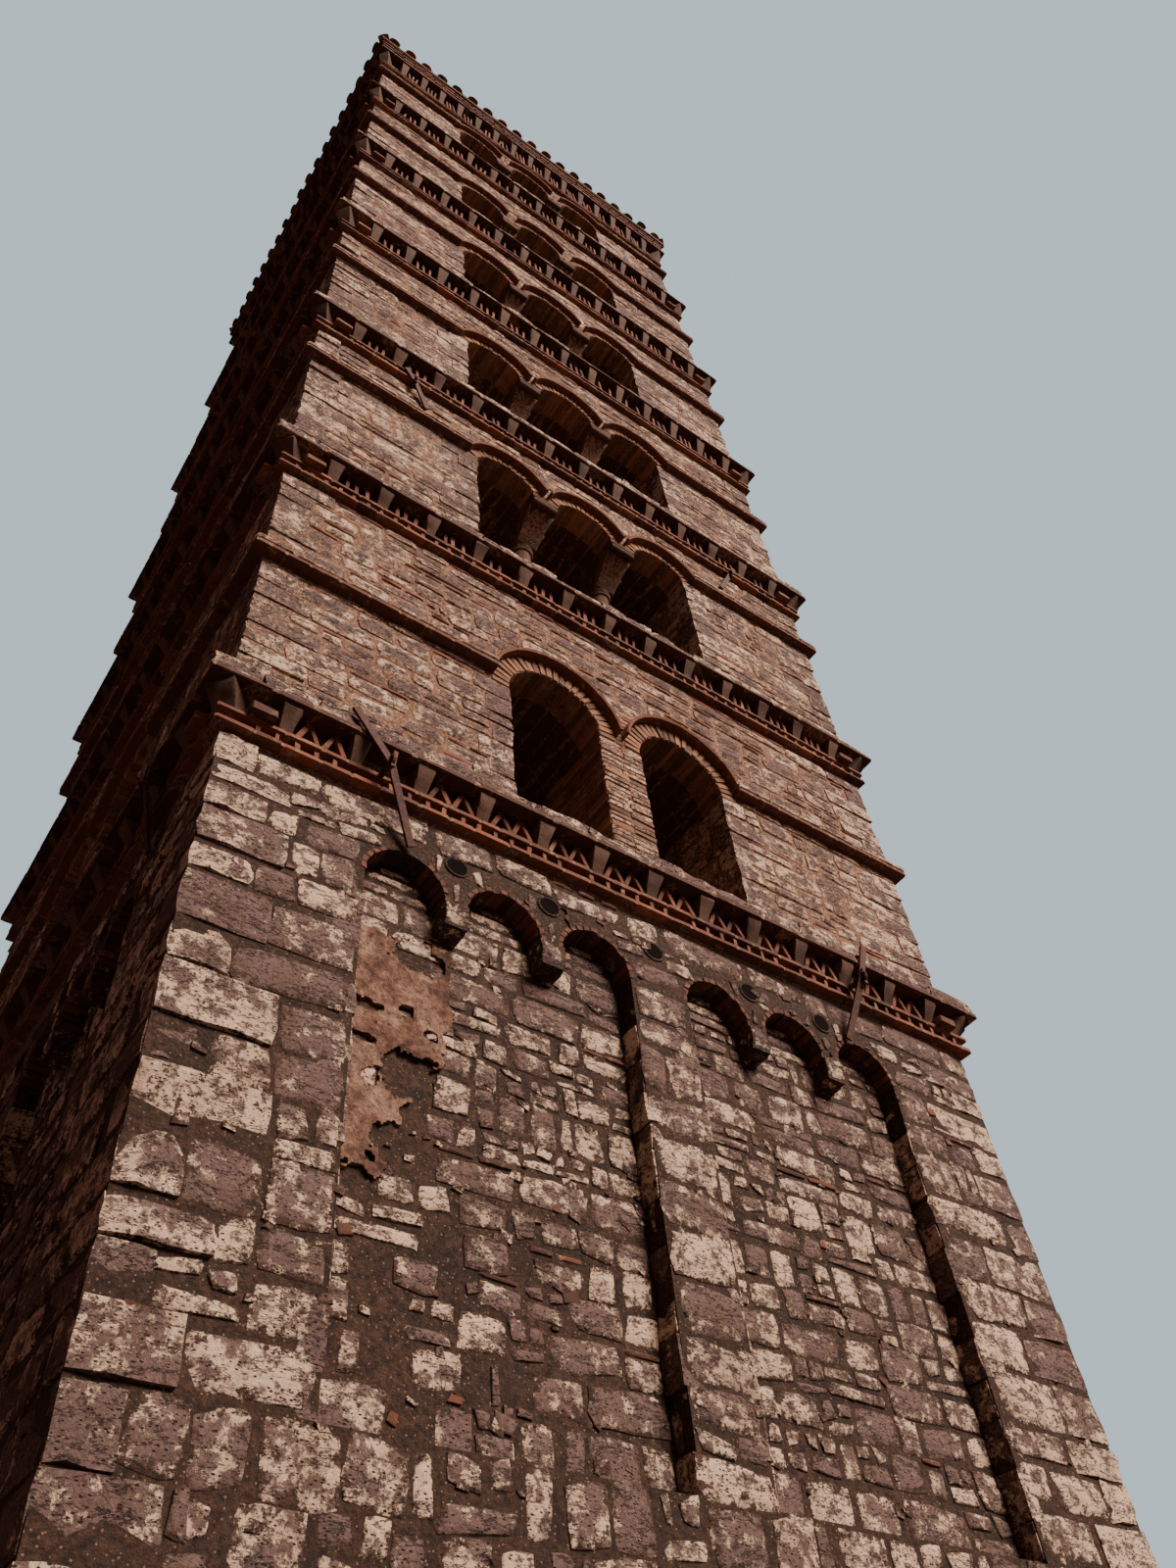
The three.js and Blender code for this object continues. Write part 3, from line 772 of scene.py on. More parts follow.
class Heap:
    """Copies of models, gathered to become one mesh."""

    def __init__(self, seed):
        self.rng = np.random.default_rng(seed)
        self.parts = {"points": [], "corners": [], "counts": [], "finish": [], "tone": [], "rim": []}
        self.total = 0

    def put(self, model, wall, middles, sizes=(1, 1, 1), finish=0, corner=0.0, rough=0.0, lean=None,
            swing=None, tone=None):
        """Sets a copy of the model on the wall for each middle and size, each worn and shaded its own way."""
        middles = np.atleast_2d(np.asarray(middles, float))
        copies = len(middles)
        if copies == 0:
            return
        sizes = np.broadcast_to(np.asarray(sizes, float), (copies, 3))
        points = model.points[None] * sizes[:, None]
        if corner:
            u, w = model.points[:, 0] + 0.5, model.points[:, 2] + 0.5
            near = np.stack([(1 - u) * (1 - w), u * (1 - w), (1 - u) * w, u * w], 1)
            shift = self.rng.uniform(-corner, corner, (copies, 4, 2))
            points[..., [0, 2]] += np.einsum("vc,ncd->nvd", near, shift)
        if rough:
            points += self.rng.normal(0, rough, points.shape)
        if lean is not None:
            points = turned(points, np.broadcast_to(lean, copies), "Y")
        if swing is not None:
            points = turned(points, np.broadcast_to(swing, copies), "Z")
        points = (points + middles[:, None]) @ wall.turn.T + wall.origin
        if tone is None:
            tone = self.rng.random(copies)
        count = len(model.points)
        firsts = self.total + np.arange(copies)[:, None] * count
        self.parts["points"].append(points.reshape(-1, 3))
        self.parts["corners"].append((model.corners[None] + firsts).ravel())
        self.parts["counts"].append(np.tile(model.counts, copies))
        self.parts["finish"].append(np.full(copies * len(model.counts), finish))
        self.parts["tone"].append(np.repeat(np.broadcast_to(tone, copies), count))
        self.parts["rim"].append(np.tile(model.rim, copies))
        self.total += copies * count

    def finish_piece(self, name, kinds, slot):
        """Makes the gathered copies one object at the origin, which rides on the tower."""
        parts = {key: np.concatenate(value) for key, value in self.parts.items()}
        mesh = bpy.data.meshes.new(name)
        mesh.vertices.add(len(parts["points"]))
        mesh.vertices.foreach_set("co", parts["points"].astype(np.float32).ravel())
        mesh.loops.add(len(parts["corners"]))
        mesh.loops.foreach_set("vertex_index", parts["corners"].astype(np.int32))
        mesh.polygons.add(len(parts["counts"]))
        starts = np.concatenate([[0], np.cumsum(parts["counts"])[:-1]])
        mesh.polygons.foreach_set("loop_start", starts.astype(np.int32))
        mesh.polygons.foreach_set("material_index", parts["finish"].astype(np.int32))
        mesh.update(calc_edges=True)
        for key in ("tone", "rim"):
            values = mesh.attributes.new(key, "FLOAT", "POINT").data
            values.foreach_set("value", parts[key].astype(np.float32))
        for kind in kinds:
            mesh.materials.append(finishes()[kind])
        made = bring_in(name, mesh)
        bpy.ops.object.shade_smooth_by_angle(angle=math.radians(40))
        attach(made, "root")
        return made


# Courses of stones

class Masonry(NamedTuple):
    """How a kind of wall is laid: ranges and shares, in metres."""

    width: tuple
    joint: tuple
    proud: tuple
    corner: float
    rough: float
    split: float
    clay: float


FOOT_RUBBLE = Masonry((0.26, 0.66), (0.02, 0.06), (0.002, 0.012), 0.04, 0.004, 0.16, 0.04)
PANEL_RUBBLE = Masonry((0.2, 0.5), (0.02, 0.055), (0.002, 0.012), 0.03, 0.004, 0.2, 0.04)
STOREY_STONES = Masonry((0.28, 0.66), (0.018, 0.052), (0.002, 0.016), 0.024, 0.003, 0.2, 0.1)
STONE, CLAY = 0, 1
BRICK_COURSE = 0.062


def course_beds(bottom, top, usual, rng):
    """Heights of the beds between courses, from bottom to top."""
    count = max(1, round((top - bottom) / usual))
    heights = rng.uniform(0.72, 1.28, count)
    return [bottom, *(bottom + np.cumsum(heights) / heights.sum() * (top - bottom))]


def free_spans(left, right, low, high, gaps):
    """The parts of a course that no opening reaches. A gap is a box or a circle."""
    spans = [(left, right)]
    for gap in gaps:
        if len(gap) == 4:
            start, end, bottom, top = gap
            if top <= low + 1e-4 or bottom >= high - 1e-4:
                continue
        else:
            x, z, radius = gap
            # The course is cut between where its nearer and where its farther bed meet the circle
            near, far = sorted((abs(low - z), abs(high - z)))
            drop = (0.0 if low < z < high else near) * 0.65 + far * 0.35
            if drop >= radius:
                continue
            reach = math.sqrt(radius * radius - drop * drop)
            start, end = x - reach, x + reach
        spans = [part for a, b in spans for part in ((a, min(b, start)), (max(a, end), b))
                 if part[1] - part[0] > 0.05]
    return spans


def cut_cells(left, right, low, high, style, rng):
    """Cuts one free part of a course into stones, some in two layers and some under a layer of brick."""
    count = max(1, round((right - left) / rng.uniform(*style.width)))
    cuts = np.linspace(left, right, count + 1)
    cuts[1:-1] += rng.uniform(-0.32, 0.32, count - 1) * (right - left) / count
    stones, clay = [], []
    for a, b in zip(cuts, cuts[1:]):
        chance = rng.random()
        height = high - low
        if height > 0.17 and chance < style.split:
            middle = low + height * rng.uniform(0.35, 0.65)
            stones.append((a, b, low, middle))
            parts = 2 if b - a > 0.22 else 1
            inner = np.linspace(a, b, parts + 1)
            inner[1:-1] += rng.uniform(-0.2, 0.2) * (b - a) / 2
            stones += [(c, d, middle, high) for c, d in zip(inner, inner[1:])]
        elif height > 0.15 and chance < style.split + style.clay:
            layer = high - rng.uniform(0.035, 0.055)
            stones.append((a, b, low, layer))
            parts = max(1, round((b - a) / 0.24))
            inner = np.linspace(a, b, parts + 1)
            clay += [(c, d, layer, high) for c, d in zip(inner, inner[1:])]
        else:
            stones.append((a, b, low, high))
    return stones, clay


def set_cells(heap, models, wall, cells, style, finish, depth):
    """Puts a stone or brick in each cell of a wall."""
    if not cells:
        return
    cells = np.array(cells)
    rng = heap.rng
    choice = rng.integers(0, len(models), len(cells))
    for i, model in enumerate(models):
        own = cells[choice == i]
        if not len(own):
            continue
        joint = rng.uniform(*style.joint, (len(own), 2))
        wide = np.maximum(own[:, 1] - own[:, 0] - joint[:, 0], 0.04)
        course = own[:, 3] - own[:, 2]
        high = np.maximum(course - np.minimum(joint[:, 1], 0.3 * course), 0.02)
        proud = rng.uniform(*style.proud, len(own))
        middles = spread((own[:, 0] + own[:, 1]) / 2, -proud, (own[:, 2] + own[:, 3]) / 2)
        worn = min(style.corner, 0.16 * float(np.median(high)))
        heap.put(model, wall, middles, spread(wide, depth, high), finish, corner=worn,
                 lean=rng.normal(0, 0.018, len(own)))


def lay_courses(heap, models, wall, beds, ends, gaps, style, depth=0.09):
    """Fills a wall with courses between its ends, around the gaps."""
    stones, clay = [], []
    for (low, high), (left, right) in zip(zip(beds, beds[1:]), ends):
        for start, end in free_spans(left, right, low, high, gaps):
            more_stones, more_clay = cut_cells(start, end, low, high, style, heap.rng)
            stones += more_stones
            clay += more_clay
    set_cells(heap, models, wall, stones, style, STONE, depth)
    set_cells(heap, models, wall, clay, style._replace(proud=(0.002, 0.014), corner=0.004), CLAY, depth)


def corner_blocks(heap, model, wall, x, solid_side, beds, long, short, style):
    """Blocks up a vertical edge at x, long and short by turns. Gives their widths and depths by course."""
    rng = heap.rng
    count = len(beds) - 1
    turn = (np.arange(count) + rng.integers(0, 2)) % 2
    widths = np.where(turn, rng.uniform(*long, count), rng.uniform(*short, count))
    depths = np.where(turn, rng.uniform(*short, count), rng.uniform(*long, count))
    low, high = np.array(beds[:-1]), np.array(beds[1:])
    proud = rng.uniform(*style.proud, count)
    middles = spread(x + solid_side * (widths - proud) / 2, (depths - proud) / 2, (low + high) / 2)
    joint = rng.uniform(*style.joint, count)
    sizes = spread(widths + proud, depths + proud, np.maximum(high - low - joint, 0.03))
    heap.put(model, wall, middles, sizes, STONE, corner=style.corner * 0.6, rough=style.rough)
    return widths, depths


def quoins(heap, model, beds, long, short, style):
    """Corner stones of all four corners. Gives for each face the ends of its courses."""
    widths, depths = zip(*(
        corner_blocks(heap, model, face_wall(side), HALF, -1, beds, long, short, style) for side in range(4)))
    return [[(-HALF + depths[side - 1][i], HALF - widths[side][i]) for i in range(len(beds) - 1)]
            for side in range(4)]


def brick_row(heap, wall, left, right, low, high, out, depth, length, finish=0, gap=0.009, wear=0.003,
              lean=0.004, tone=None):
    """A row of bricks or thin slabs along a wall, whose faces stand out from it."""
    count = max(1, round((right - left) / length))
    cuts = np.linspace(left, right, count + 1)
    cuts[1:-1] += heap.rng.uniform(-0.18, 0.18, count - 1) * length
    widths = np.diff(cuts) - gap
    faces = out + heap.rng.uniform(-wear, wear, count)
    middles = spread((cuts[1:] + cuts[:-1]) / 2, depth / 2 - faces, (low + high) / 2)
    heap.put(kit().brick, wall, middles, spread(widths, depth, high - low), finish, corner=wear,
             rough=wear / 2, lean=heap.rng.normal(0, lean, count), tone=tone)


def brick_band(heap, low, high, out, depth, length, **details):
    """A row of bricks right round the tower, with the corners taken by the front and the back."""
    for side in range(4):
        reach = HALF + out if side % 2 == 0 else HALF + out - depth
        brick_row(heap, face_wall(side), -reach, reach, low, high, out, depth, length, **details)


def arch_ring(heap, wall, x, arc, outer, front, back, pitch, finish, skip=(), tone=None):
    """Bricks set on edge round an arch, pointing at its centre."""
    inner = arc.radius - 0.006
    sweep = math.pi - 2 * arc.start
    count = max(4, round(sweep * arc.radius / pitch))
    angles = arc.start + (np.arange(count) + 0.5) * sweep / count
    angles = np.array([a for i, a in enumerate(angles) if i not in skip])
    count = len(angles)
    rng = heap.rng
    radius = (inner + outer) / 2 + rng.uniform(-0.004, 0.004, count)
    face = front + rng.uniform(-0.009, 0.009, count)
    middles = spread(x + radius * np.cos(angles), (back - face) / 2, arc.z + radius * np.sin(angles))
    sizes = spread(pitch * rng.uniform(0.8, 0.93, count), front + back, outer - inner)
    heap.put(kit().brick, wall, middles, sizes, finish, corner=0.004, rough=0.002, lean=math.pi / 2 - angles,
             tone=tone)


# The foot

PANELS = ((-PANEL_OUT, -PANEL_IN), (PANEL_IN, PANEL_OUT))
ARCADE_TOP = PANEL_SPRINGING + BLIND_RADIUS
TOP_COURSE = 0.21
PANEL_COURSE = 0.235
ARCH_COURSE = 0.09
HOLE_HEIGHT = 7.69
HOLE_RADIUS = 0.08
# Places in the left panel of the front where the stones are lost under dark mortar: middle and radius
BARE_MORTAR = [
    (-1.98, 6.78, 0.16), (-2.25, 6.3, 0.12), (-1.95, 6.05, 0.2), (-1.95, 5.5, 0.2), (-2.25, 5.2, 0.14),
    (-1.7, 5.05, 0.12), (-2.1, 4.7, 0.14), (-1.5, 4.4, 0.1), (-2.3, 4.2, 0.1), (-2.0, 4.4, 0.16),
    (-1.6, 4.8, 0.12), (-1.2, 4.95, 0.08), (-1.85, 4.08, 0.12), (-1.25, 4.3, 0.1), (-1.05, 4.65, 0.07),
]
# The plaster: its left, right, lower and upper bounds, and the size of its cells
PLASTER_FIELD = (-PANEL_OUT + 0.01, -1.5, 4.95, 7.06)
PLASTER_CELL = 0.02
# Holes in the plaster: middle, half width and half height
PLASTER_HOLES = [
    (-1.93, 6.88, 0.19, 0.12), (-2.27, 6.37, 0.1, 0.035), (-2.28, 6.12, 0.1, 0.03), (-1.98, 6.42, 0.04, 0.04),
    (-1.93, 5.95, 0.2, 0.17), (-2.2, 5.86, 0.05, 0.05), (-2.05, 5.5, 0.17, 0.14), (-1.8, 6.3, 0.05, 0.03),
]


def blind_arches():
    """Middles of the little blind arches of one face."""
    right = [PANEL_IN + BLIND_RADIUS + i * BLIND_STEP for i in range(3)]
    return [-x for x in reversed(right)] + right


def corbels():
    """Middles of the corbels of the right panel."""
    return [PANEL_IN + 2 * BLIND_RADIUS + CORBEL / 2 + i * BLIND_STEP for i in range(2)]


def spandrel_holes():
    """Places of the round holes over the corbels of the blind arches."""
    return [-x for x in reversed(corbels())] + [0.0] + corbels()


class TOWER_OT_frame_finish(bpy.types.Operator):
    """Give the CAD walls, cornices, floors and anchors their mortar, boards and rust"""

    bl_idname = "tower.frame_finish"
    bl_label = "Frame finishes"

    def execute(self, context):
        kinds = (("foot_wall", "foot_mortar"), ("anchor", "iron"), ("floor", "oak"), ("", "mortar"))
        for name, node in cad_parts.items():
            kind = next(kind for part, kind in kinds if part in name)
            for place in node.material_slots:
                place.material = finishes()[kind]
        return {"FINISHED"}


class TOWER_OT_foot_stones(bpy.types.Operator):
    """Lay the rubble of the foot, one piece a face, and its corner stones"""

    bl_idname = "tower.foot_stones"
    bl_label = "Foot stones"

    def execute(self, context):
        course = context.scene.tower_sizes.foot_course
        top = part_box("cornice_1")[0].z
        corners = Heap(11)
        beds = course_beds(0.03, PANEL_FOOT, course, corners.rng)
        beds += course_beds(PANEL_FOOT, PANEL_SPRINGING, course, corners.rng)[1:]
        beds += course_beds(PANEL_SPRINGING, top, TOP_COURSE, corners.rng)[1:]
        ends = quoins(corners, kit().big_block, beds, (0.42, 0.75), (0.26, 0.42), FOOT_RUBBLE)
        corners.finish_piece("foot_corner_stones", ("rubble", "old_brick_and_soffit_shade"), "rubble")
        gaps = [(x, PANEL_SPRINGING, BLIND_RADIUS + 0.05) for x in blind_arches()]
        gaps += [(x, HOLE_HEIGHT, HOLE_RADIUS + 0.03) for x in spandrel_holes()]
        gaps += [(*panel, PANEL_FOOT, PANEL_SPRINGING) for panel in PANELS]
        for side, name in enumerate(("front", "right", "back", "left")):
            heap = Heap(20 + side)
            lay_courses(heap, kit().stones, face_wall(side), beds, ends[side], gaps, FOOT_RUBBLE)
            self.edge_panels(heap, side)
            self.fill_panels(heap, side)
            self.press_chips(heap, side)
            heap.finish_piece(f"foot_stones_{name}", ("rubble", "old_brick_and_soffit_shade"), "rubble")
        return {"FINISHED"}

    def edge_panels(self, heap, side):
        """Long stones up the sides of the sunk panels, deep enough to face their reveals."""
        beds = course_beds(PANEL_FOOT, PANEL_SPRINGING - CORBEL_HEIGHT, 0.26, heap.rng)
        low, high = np.array(beds[:-1]), np.array(beds[1:])
        deep = PANEL_DEPTH + 0.03
        for x, solid in ((PANEL_IN, -1), (PANEL_OUT, 1), (-PANEL_IN, 1), (-PANEL_OUT, -1)):
            width = heap.rng.uniform(0.1, 0.24, len(low))
            proud = heap.rng.uniform(0.002, 0.016, len(low))
            middles = spread(x + solid * (width - proud) / 2, (deep - proud) / 2 + 0.012, (low + high) / 2)
            sizes = spread(width + proud, deep + proud, high - low - 0.02)
            heap.put(kit().block, face_wall(side), middles, sizes, corner=0.01, rough=0.004)

    def fill_panels(self, heap, side):
        """Smaller rubble on the sunk back of the two panels and of their little arches."""
        wall = face_wall(side, -PANEL_DEPTH)
        beds = course_beds(PANEL_FOOT, PANEL_SPRINGING, PANEL_COURSE, heap.rng)
        bare = BARE_MORTAR if side == 0 else []
        for panel in PANELS:
            lay_courses(heap, kit().stones, wall, beds, [panel] * (len(beds) - 1), bare, PANEL_RUBBLE, 0.07)
        upper = course_beds(PANEL_SPRINGING, PANEL_SPRINGING + 0.27, ARCH_COURSE, heap.rng)
        reaches = [math.sqrt(max(0.0, BLIND_RADIUS**2 - (high - PANEL_SPRINGING) ** 2)) for high in upper[1:]]
        for x in blind_arches():
            ends = [(x - reach, x + reach) for reach in reaches]
            lay_courses(heap, kit().small_stones, wall, upper, ends, [], PANEL_RUBBLE, 0.07)

    def press_chips(self, heap, side):
        """Small chips of stone and brick pressed into the wide joints, on the face and in the panels."""
        fields = ((0.0, 300, 0.1, 7.9, 3.3), (-PANEL_DEPTH, 190, PANEL_FOOT, 7.3, PANEL_OUT))
        for out, count, low, high, reach in fields:
            x, z = heap.rng.uniform(-reach, reach, count), heap.rng.uniform(low, high, count)
            sunk = (np.abs(x) > PANEL_IN) & (np.abs(x) < PANEL_OUT) & (z > PANEL_FOOT) & (z < ARCADE_TOP)
            kept = sunk if out < 0 else ~sunk
            x, z = x[kept], z[kept]
            wide = heap.rng.uniform(0.03, 0.09, len(x))
            sizes = spread(wide, 0.03, wide * heap.rng.uniform(0.4, 0.9, len(x)))
            middles = spread(x, 0.003, z)
            clay = heap.rng.random(len(x)) < 0.1
            for finish, chosen in ((STONE, ~clay), (CLAY, clay)):
                heap.put(kit().brick, face_wall(side, out), middles[chosen], sizes[chosen], finish,
                         corner=0.012, rough=0.002, lean=heap.rng.uniform(-0.5, 0.5, int(chosen.sum())))


class TOWER_OT_blind_arcade(bpy.types.Operator):
    """Turn the little blind arches in brick, and set their corbels and the pots of the holes over them"""

    bl_idname = "tower.blind_arcade"
    bl_label = "Blind arcade"

    def execute(self, context):
        heap = Heap(31)
        arc = Arc(PANEL_SPRINGING, BLIND_RADIUS, 0.0)
        corbel = self.shape_corbel()
        for side in range(4):
            wall = face_wall(side)
            for i, x in enumerate(blind_arches()):
                fallen = (5, 6, 7, 8, 9) if side == 0 and i == 0 else ()
                arch_ring(heap, wall, x, arc, BLIND_RADIUS + 0.035, 0.004, PANEL_DEPTH + 0.01, BRICK_COURSE,
                          1, fallen)
            middles = [(sign * x, PANEL_DEPTH / 2, PANEL_SPRINGING - CORBEL_HEIGHT / 2)
                       for sign in (-1, 1) for x in corbels()]
            heap.put(corbel, wall, middles, (CORBEL + 0.014, PANEL_DEPTH + 0.03, CORBEL_HEIGHT + 0.02),
                     corner=0.01, rough=0.004)
        self.set_pots(heap)
        heap.finish_piece("blind_arcade", ("rubble", "old_brick_and_soffit_shade", "soot", "foot_mortar"), "brick")
        return {"FINISHED"}

    def shape_corbel(self):
        """A corbel one unit each way, rounded off below where it leaves the wall."""
        deselect_all()
        bpy.ops.mesh.primitive_cube_add(size=1)
        pick("EDGE", lambda a, b: a.y < -0.4 and b.y < -0.4 and a.z < -0.4 and b.z < -0.4)
        bpy.ops.mesh.bevel(offset=0.42, segments=4)
        pick("FACE", lambda centre, normal: True)
        bpy.ops.mesh.subdivide(number_cuts=1)
        return take_model()

    def set_pots(self, heap):
        """Clay pots walled in over the corbels: their mouths are the round holes with a mortared rim, and in
        each a near-black disc painted with the shade of the hole's depth.
        """
        rim = HOLE_RADIUS
        ring = spin_profile(
            [(rim, 0), (rim + 0.002, 0.008), (rim + 0.02, 0.012), (rim + 0.026, 0.0), (rim, 0)], 14)
        # A near-black disc in each mouth: soot and painted shade of the hole's depth.
        shade_disc = spin_profile([(0.0, 0.003), (rim + 0.004, 0.003), (rim + 0.004, 0.001), (0.0, 0.001)], 14)
        middles = [(x, 0.0, HOLE_HEIGHT) for x in spandrel_holes()]
        for part, finish in ((ring, 3), (shade_disc, 2)):
            for side in range(4):
                heap.put(tipped(part, "X"), face_wall(side), middles, (1, 1, 0.9), finish)


class TOWER_OT_plaster(bpy.types.Operator):
    """Leave the remains of plaster in the left panel of the front, with ragged edges and holes"""

    bl_idname = "tower.plaster"
    bl_label = "Remains of plaster"

    def execute(self, context):
        left, right, low, high = PLASTER_FIELD
        deselect_all()
        bpy.ops.mesh.primitive_grid_add(
            x_subdivisions=round((right - left) / PLASTER_CELL),
            y_subdivisions=round((high - low) / PLASTER_CELL), size=1, rotation=(math.pi / 2, 0, 0))
        made = bpy.context.object
        made.scale = (right - left, high - low, 1)
        made.location = ((left + right) / 2, -HALF + PANEL_DEPTH - 0.03, (low + high) / 2)
        apply_place()
        pick("FACE", lambda centre, normal: not self.kept(centre))
        bpy.ops.mesh.delete(type="FACE")
        pick("VERT", lambda point: True)
        bpy.ops.mesh.vertices_smooth(factor=0.5, repeat=1)
        bpy.ops.object.mode_set(mode="OBJECT")
        for point in made.data.vertices:
            point.co.y -= 0.018 * noise.noise(point.co * 5.0) + 0.011 * noise.noise(point.co * 17.0)
        coat = made.modifiers.new("coat", "SOLIDIFY")
        coat.thickness = 0.028
        coat.offset = -1
        bpy.ops.object.modifier_apply(modifier=coat.name)
        made.name = "plaster_remains"
        made.data.materials.append(finishes()["plaster"])
        bpy.ops.object.shade_smooth_by_angle(angle=math.radians(50))
        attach(made, "root")
        return {"FINISHED"}

    def kept(self, point):
        """Whether plaster is left at a place: inside its ragged outline and outside its holes."""
        wobble = 0.55 * noise.noise(point * 4.0) + 0.45 * noise.noise(point * 12.0)
        wobble += 0.3 * noise.noise(point * 26.0)
        right = -1.66 - 0.26 * max(0.0, 6.3 - point.z) / 0.6 + 0.16 * wobble
        if point.x > right or point.z > 7.0 + 0.1 * wobble or point.z < 5.2 + 0.3 * wobble:
            return False
        return all(math.hypot((point.x - x) / wide, (point.z - z) / high) >= 1 + 0.8 * wobble
                   for x, z, wide, high in PLASTER_HOLES)


# The storeys

class TOWER_OT_storey_stones(bpy.types.Operator):
    """Lay the stones of storeys 2 to 7 round their windows, one piece a storey"""

    bl_idname = "tower.storey_stones"
    bl_label = "Storey stones"

    def execute(self, context):
        course = context.scene.tower_sizes.upper_course
        for storey in STOREYS:
            heap = Heap(40 + storey.number)
            sill = storey.floor + SILL
            lower = [storey.floor, storey.floor + 0.14, sill]
            middle = course_beds(sill, storey.springing, course, heap.rng)
            arched = course_beds(storey.springing, storey.string, course, heap.rng)
            upper = course_beds(storey.string + STRING, storey.top, course * 0.9, heap.rng)
            beds = lower + middle[1:] + arched[1:] + upper
            ends = quoins(heap, kit().block, beds, (0.4, 0.62), (0.24, 0.34), STOREY_STONES)
            first = len(lower) - 1
            jambs = beds[first : first + len(middle)]
            # Over the string more stones lie under a layer of brick
            split = len(beds) - len(upper)
            parts = ((slice(split + 1), slice(split), STOREY_STONES),
                     (slice(split, None), slice(split, None), STOREY_STONES._replace(clay=0.34)))
            for side in range(4):
                gaps = self.openings(storey)
                for edge, solid in ((-storey.jamb, -1), (storey.jamb, 1)):
                    gaps += self.jamb_stones(heap, storey, side, edge, solid, jambs)
                for levels, courses, style in parts:
                    lay_courses(heap, kit().small_stones, face_wall(side), beds[levels],
                                ends[side][courses], gaps, style)
            heap.finish_piece(f"storey_{storey.number}_stones", ("stone", "brick"), "stone")
        return {"FINISHED"}

    def openings(self, storey):
        """The window, its arches with their hoods, and the string beside them."""
        low, high = storey.string, storey.string + STRING
        reach = storey.middles[-1] + storey.hood_reach
        gaps = [(-storey.jamb, storey.jamb, storey.floor + SILL, storey.springing),
                (-HALF - 1, -reach, low, high), (reach, HALF + 1, low, high)]
        return gaps + [(x, storey.arc.z, storey.ring + 0.045) for x in storey.middles]

    def jamb_stones(self, heap, storey, side, edge, solid, beds):
        """Blocks up the side of a window and the stones of its reveal behind them."""
        widths, depths = corner_blocks(
            heap, kit().block, face_wall(side), edge, solid, beds, (0.3, 0.48), (0.18, 0.28), STOREY_STONES)
        wall = reveal_wall(side, edge, -solid, storey.wall)
        if solid < 0:
            ends = [(depth, storey.wall - 0.005) for depth in depths]
        else:
            ends = [(0.005, storey.wall - depth) for depth in depths]
        lay_courses(heap, [kit().brick], wall, beds, ends, [], STOREY_STONES, 0.05)
        return [(min(edge, edge + solid * width), max(edge, edge + solid * width), low, high)
                for width, low, high in zip(widths, beds, beds[1:])]


class TOWER_OT_window_arches(bpy.types.Operator):
    """Turn the brick arches of the windows and their hood mouldings, and lay the strings beside them"""

    bl_idname = "tower.window_arches"
    bl_label = "Window arches"

    def execute(self, context):
        for storey in STOREYS:
            heap = Heap(60 + storey.number)
            hood = shape_hood(storey)
            rows = max(2, round(storey.wall / 0.3))
            step = storey.wall / rows
            for side in range(4):
                wall = face_wall(side)
                for x in storey.middles:
                    arch_ring(heap, wall, x, storey.arc, storey.ring - 0.002, 0.012, step, 0.064, 2)
                    # The rows behind the face line the soffit: darker brick at a low tone, painted shade of
                    # the soffit.
                    for row in range(1, rows):
                        deep = wall._replace(origin=wall.turn @ np.array([0, -HALF + row * step, 0]))
                        arch_ring(heap, deep, x, storey.arc, storey.arc.radius + 0.03, -0.008, step, 0.16, 3,
                                  tone=0.25)
                    heap.put(hood, wall, [(x, 0, storey.arc.z)], rough=0.0015, tone=0.55)
                self.lay_string(heap, storey, wall, context.scene.tower_sizes.brick_length)
            self.fill_between(heap, storey)
            kinds = ("brick", "stone", "arch_brick", "old_brick_and_soffit_shade")
            heap.finish_piece(f"storey_{storey.number}_arches", kinds, "brick")
        return {"FINISHED"}

    def lay_string(self, heap, storey, wall, brick_length):
        """A row of brick under a row of stone, from each corner to the hoods."""
        low, high = storey.string - 0.003, storey.string + STRING + 0.003
        middle = storey.string + 0.5 * STRING
        reach = storey.middles[-1] + storey.hood_reach
        for left, right in ((-HALF - STRING_OUT, -reach + 0.02), (reach - 0.02, HALF + STRING_OUT)):
            brick_row(heap, wall, left, right, low, middle, STRING_OUT + 0.004, 0.2, brick_length,
                      wear=0.002, tone=0.2)
            brick_row(heap, wall, left - 0.006, right, middle + 0.004, high, STRING_OUT + 0.012, 0.2, 0.36, 1)

    def fill_between(self, heap, storey):
        """Courses of brick over the supports, between the feet of two rings."""
        pitch = storey.light + storey.support
        for i in range(max(2, round((storey.ring * 0.8) / BRICK_COURSE))):
            low = storey.springing + i * BRICK_COURSE
            drop = low + 0.03 - storey.arc.z
            if drop >= storey.ring:
                continue
            half = pitch / 2 - math.sqrt(storey.ring**2 - drop**2) - 0.006
            if half < 0.02:
                continue
            for side in range(4):
                for x in storey.supports:
                    brick_row(heap, face_wall(side), x - half, x + half, low, low + 0.05, 0.01, 0.12, 0.24, 2)


# Share of a capital's height that flares, its width and depth at the neck, and its height
CAPITAL_HEAD = 0.8
CAPITAL_FOOT = (0.25, 0.27)
CAPITAL_HEIGHT = 0.43
# How far the middle of a scroll is under the top of its capital and inside the wall
SCROLL_DROP, SCROLL_IN = 0.125, 0.035
# Tiers of leaves on a capital: start, height and places along the side
LEAF_TIERS = [(0.0, 0.42, (-0.375, -0.125, 0.125, 0.375)), (0.34, 0.42, (-0.36, 0.0, 0.36))]


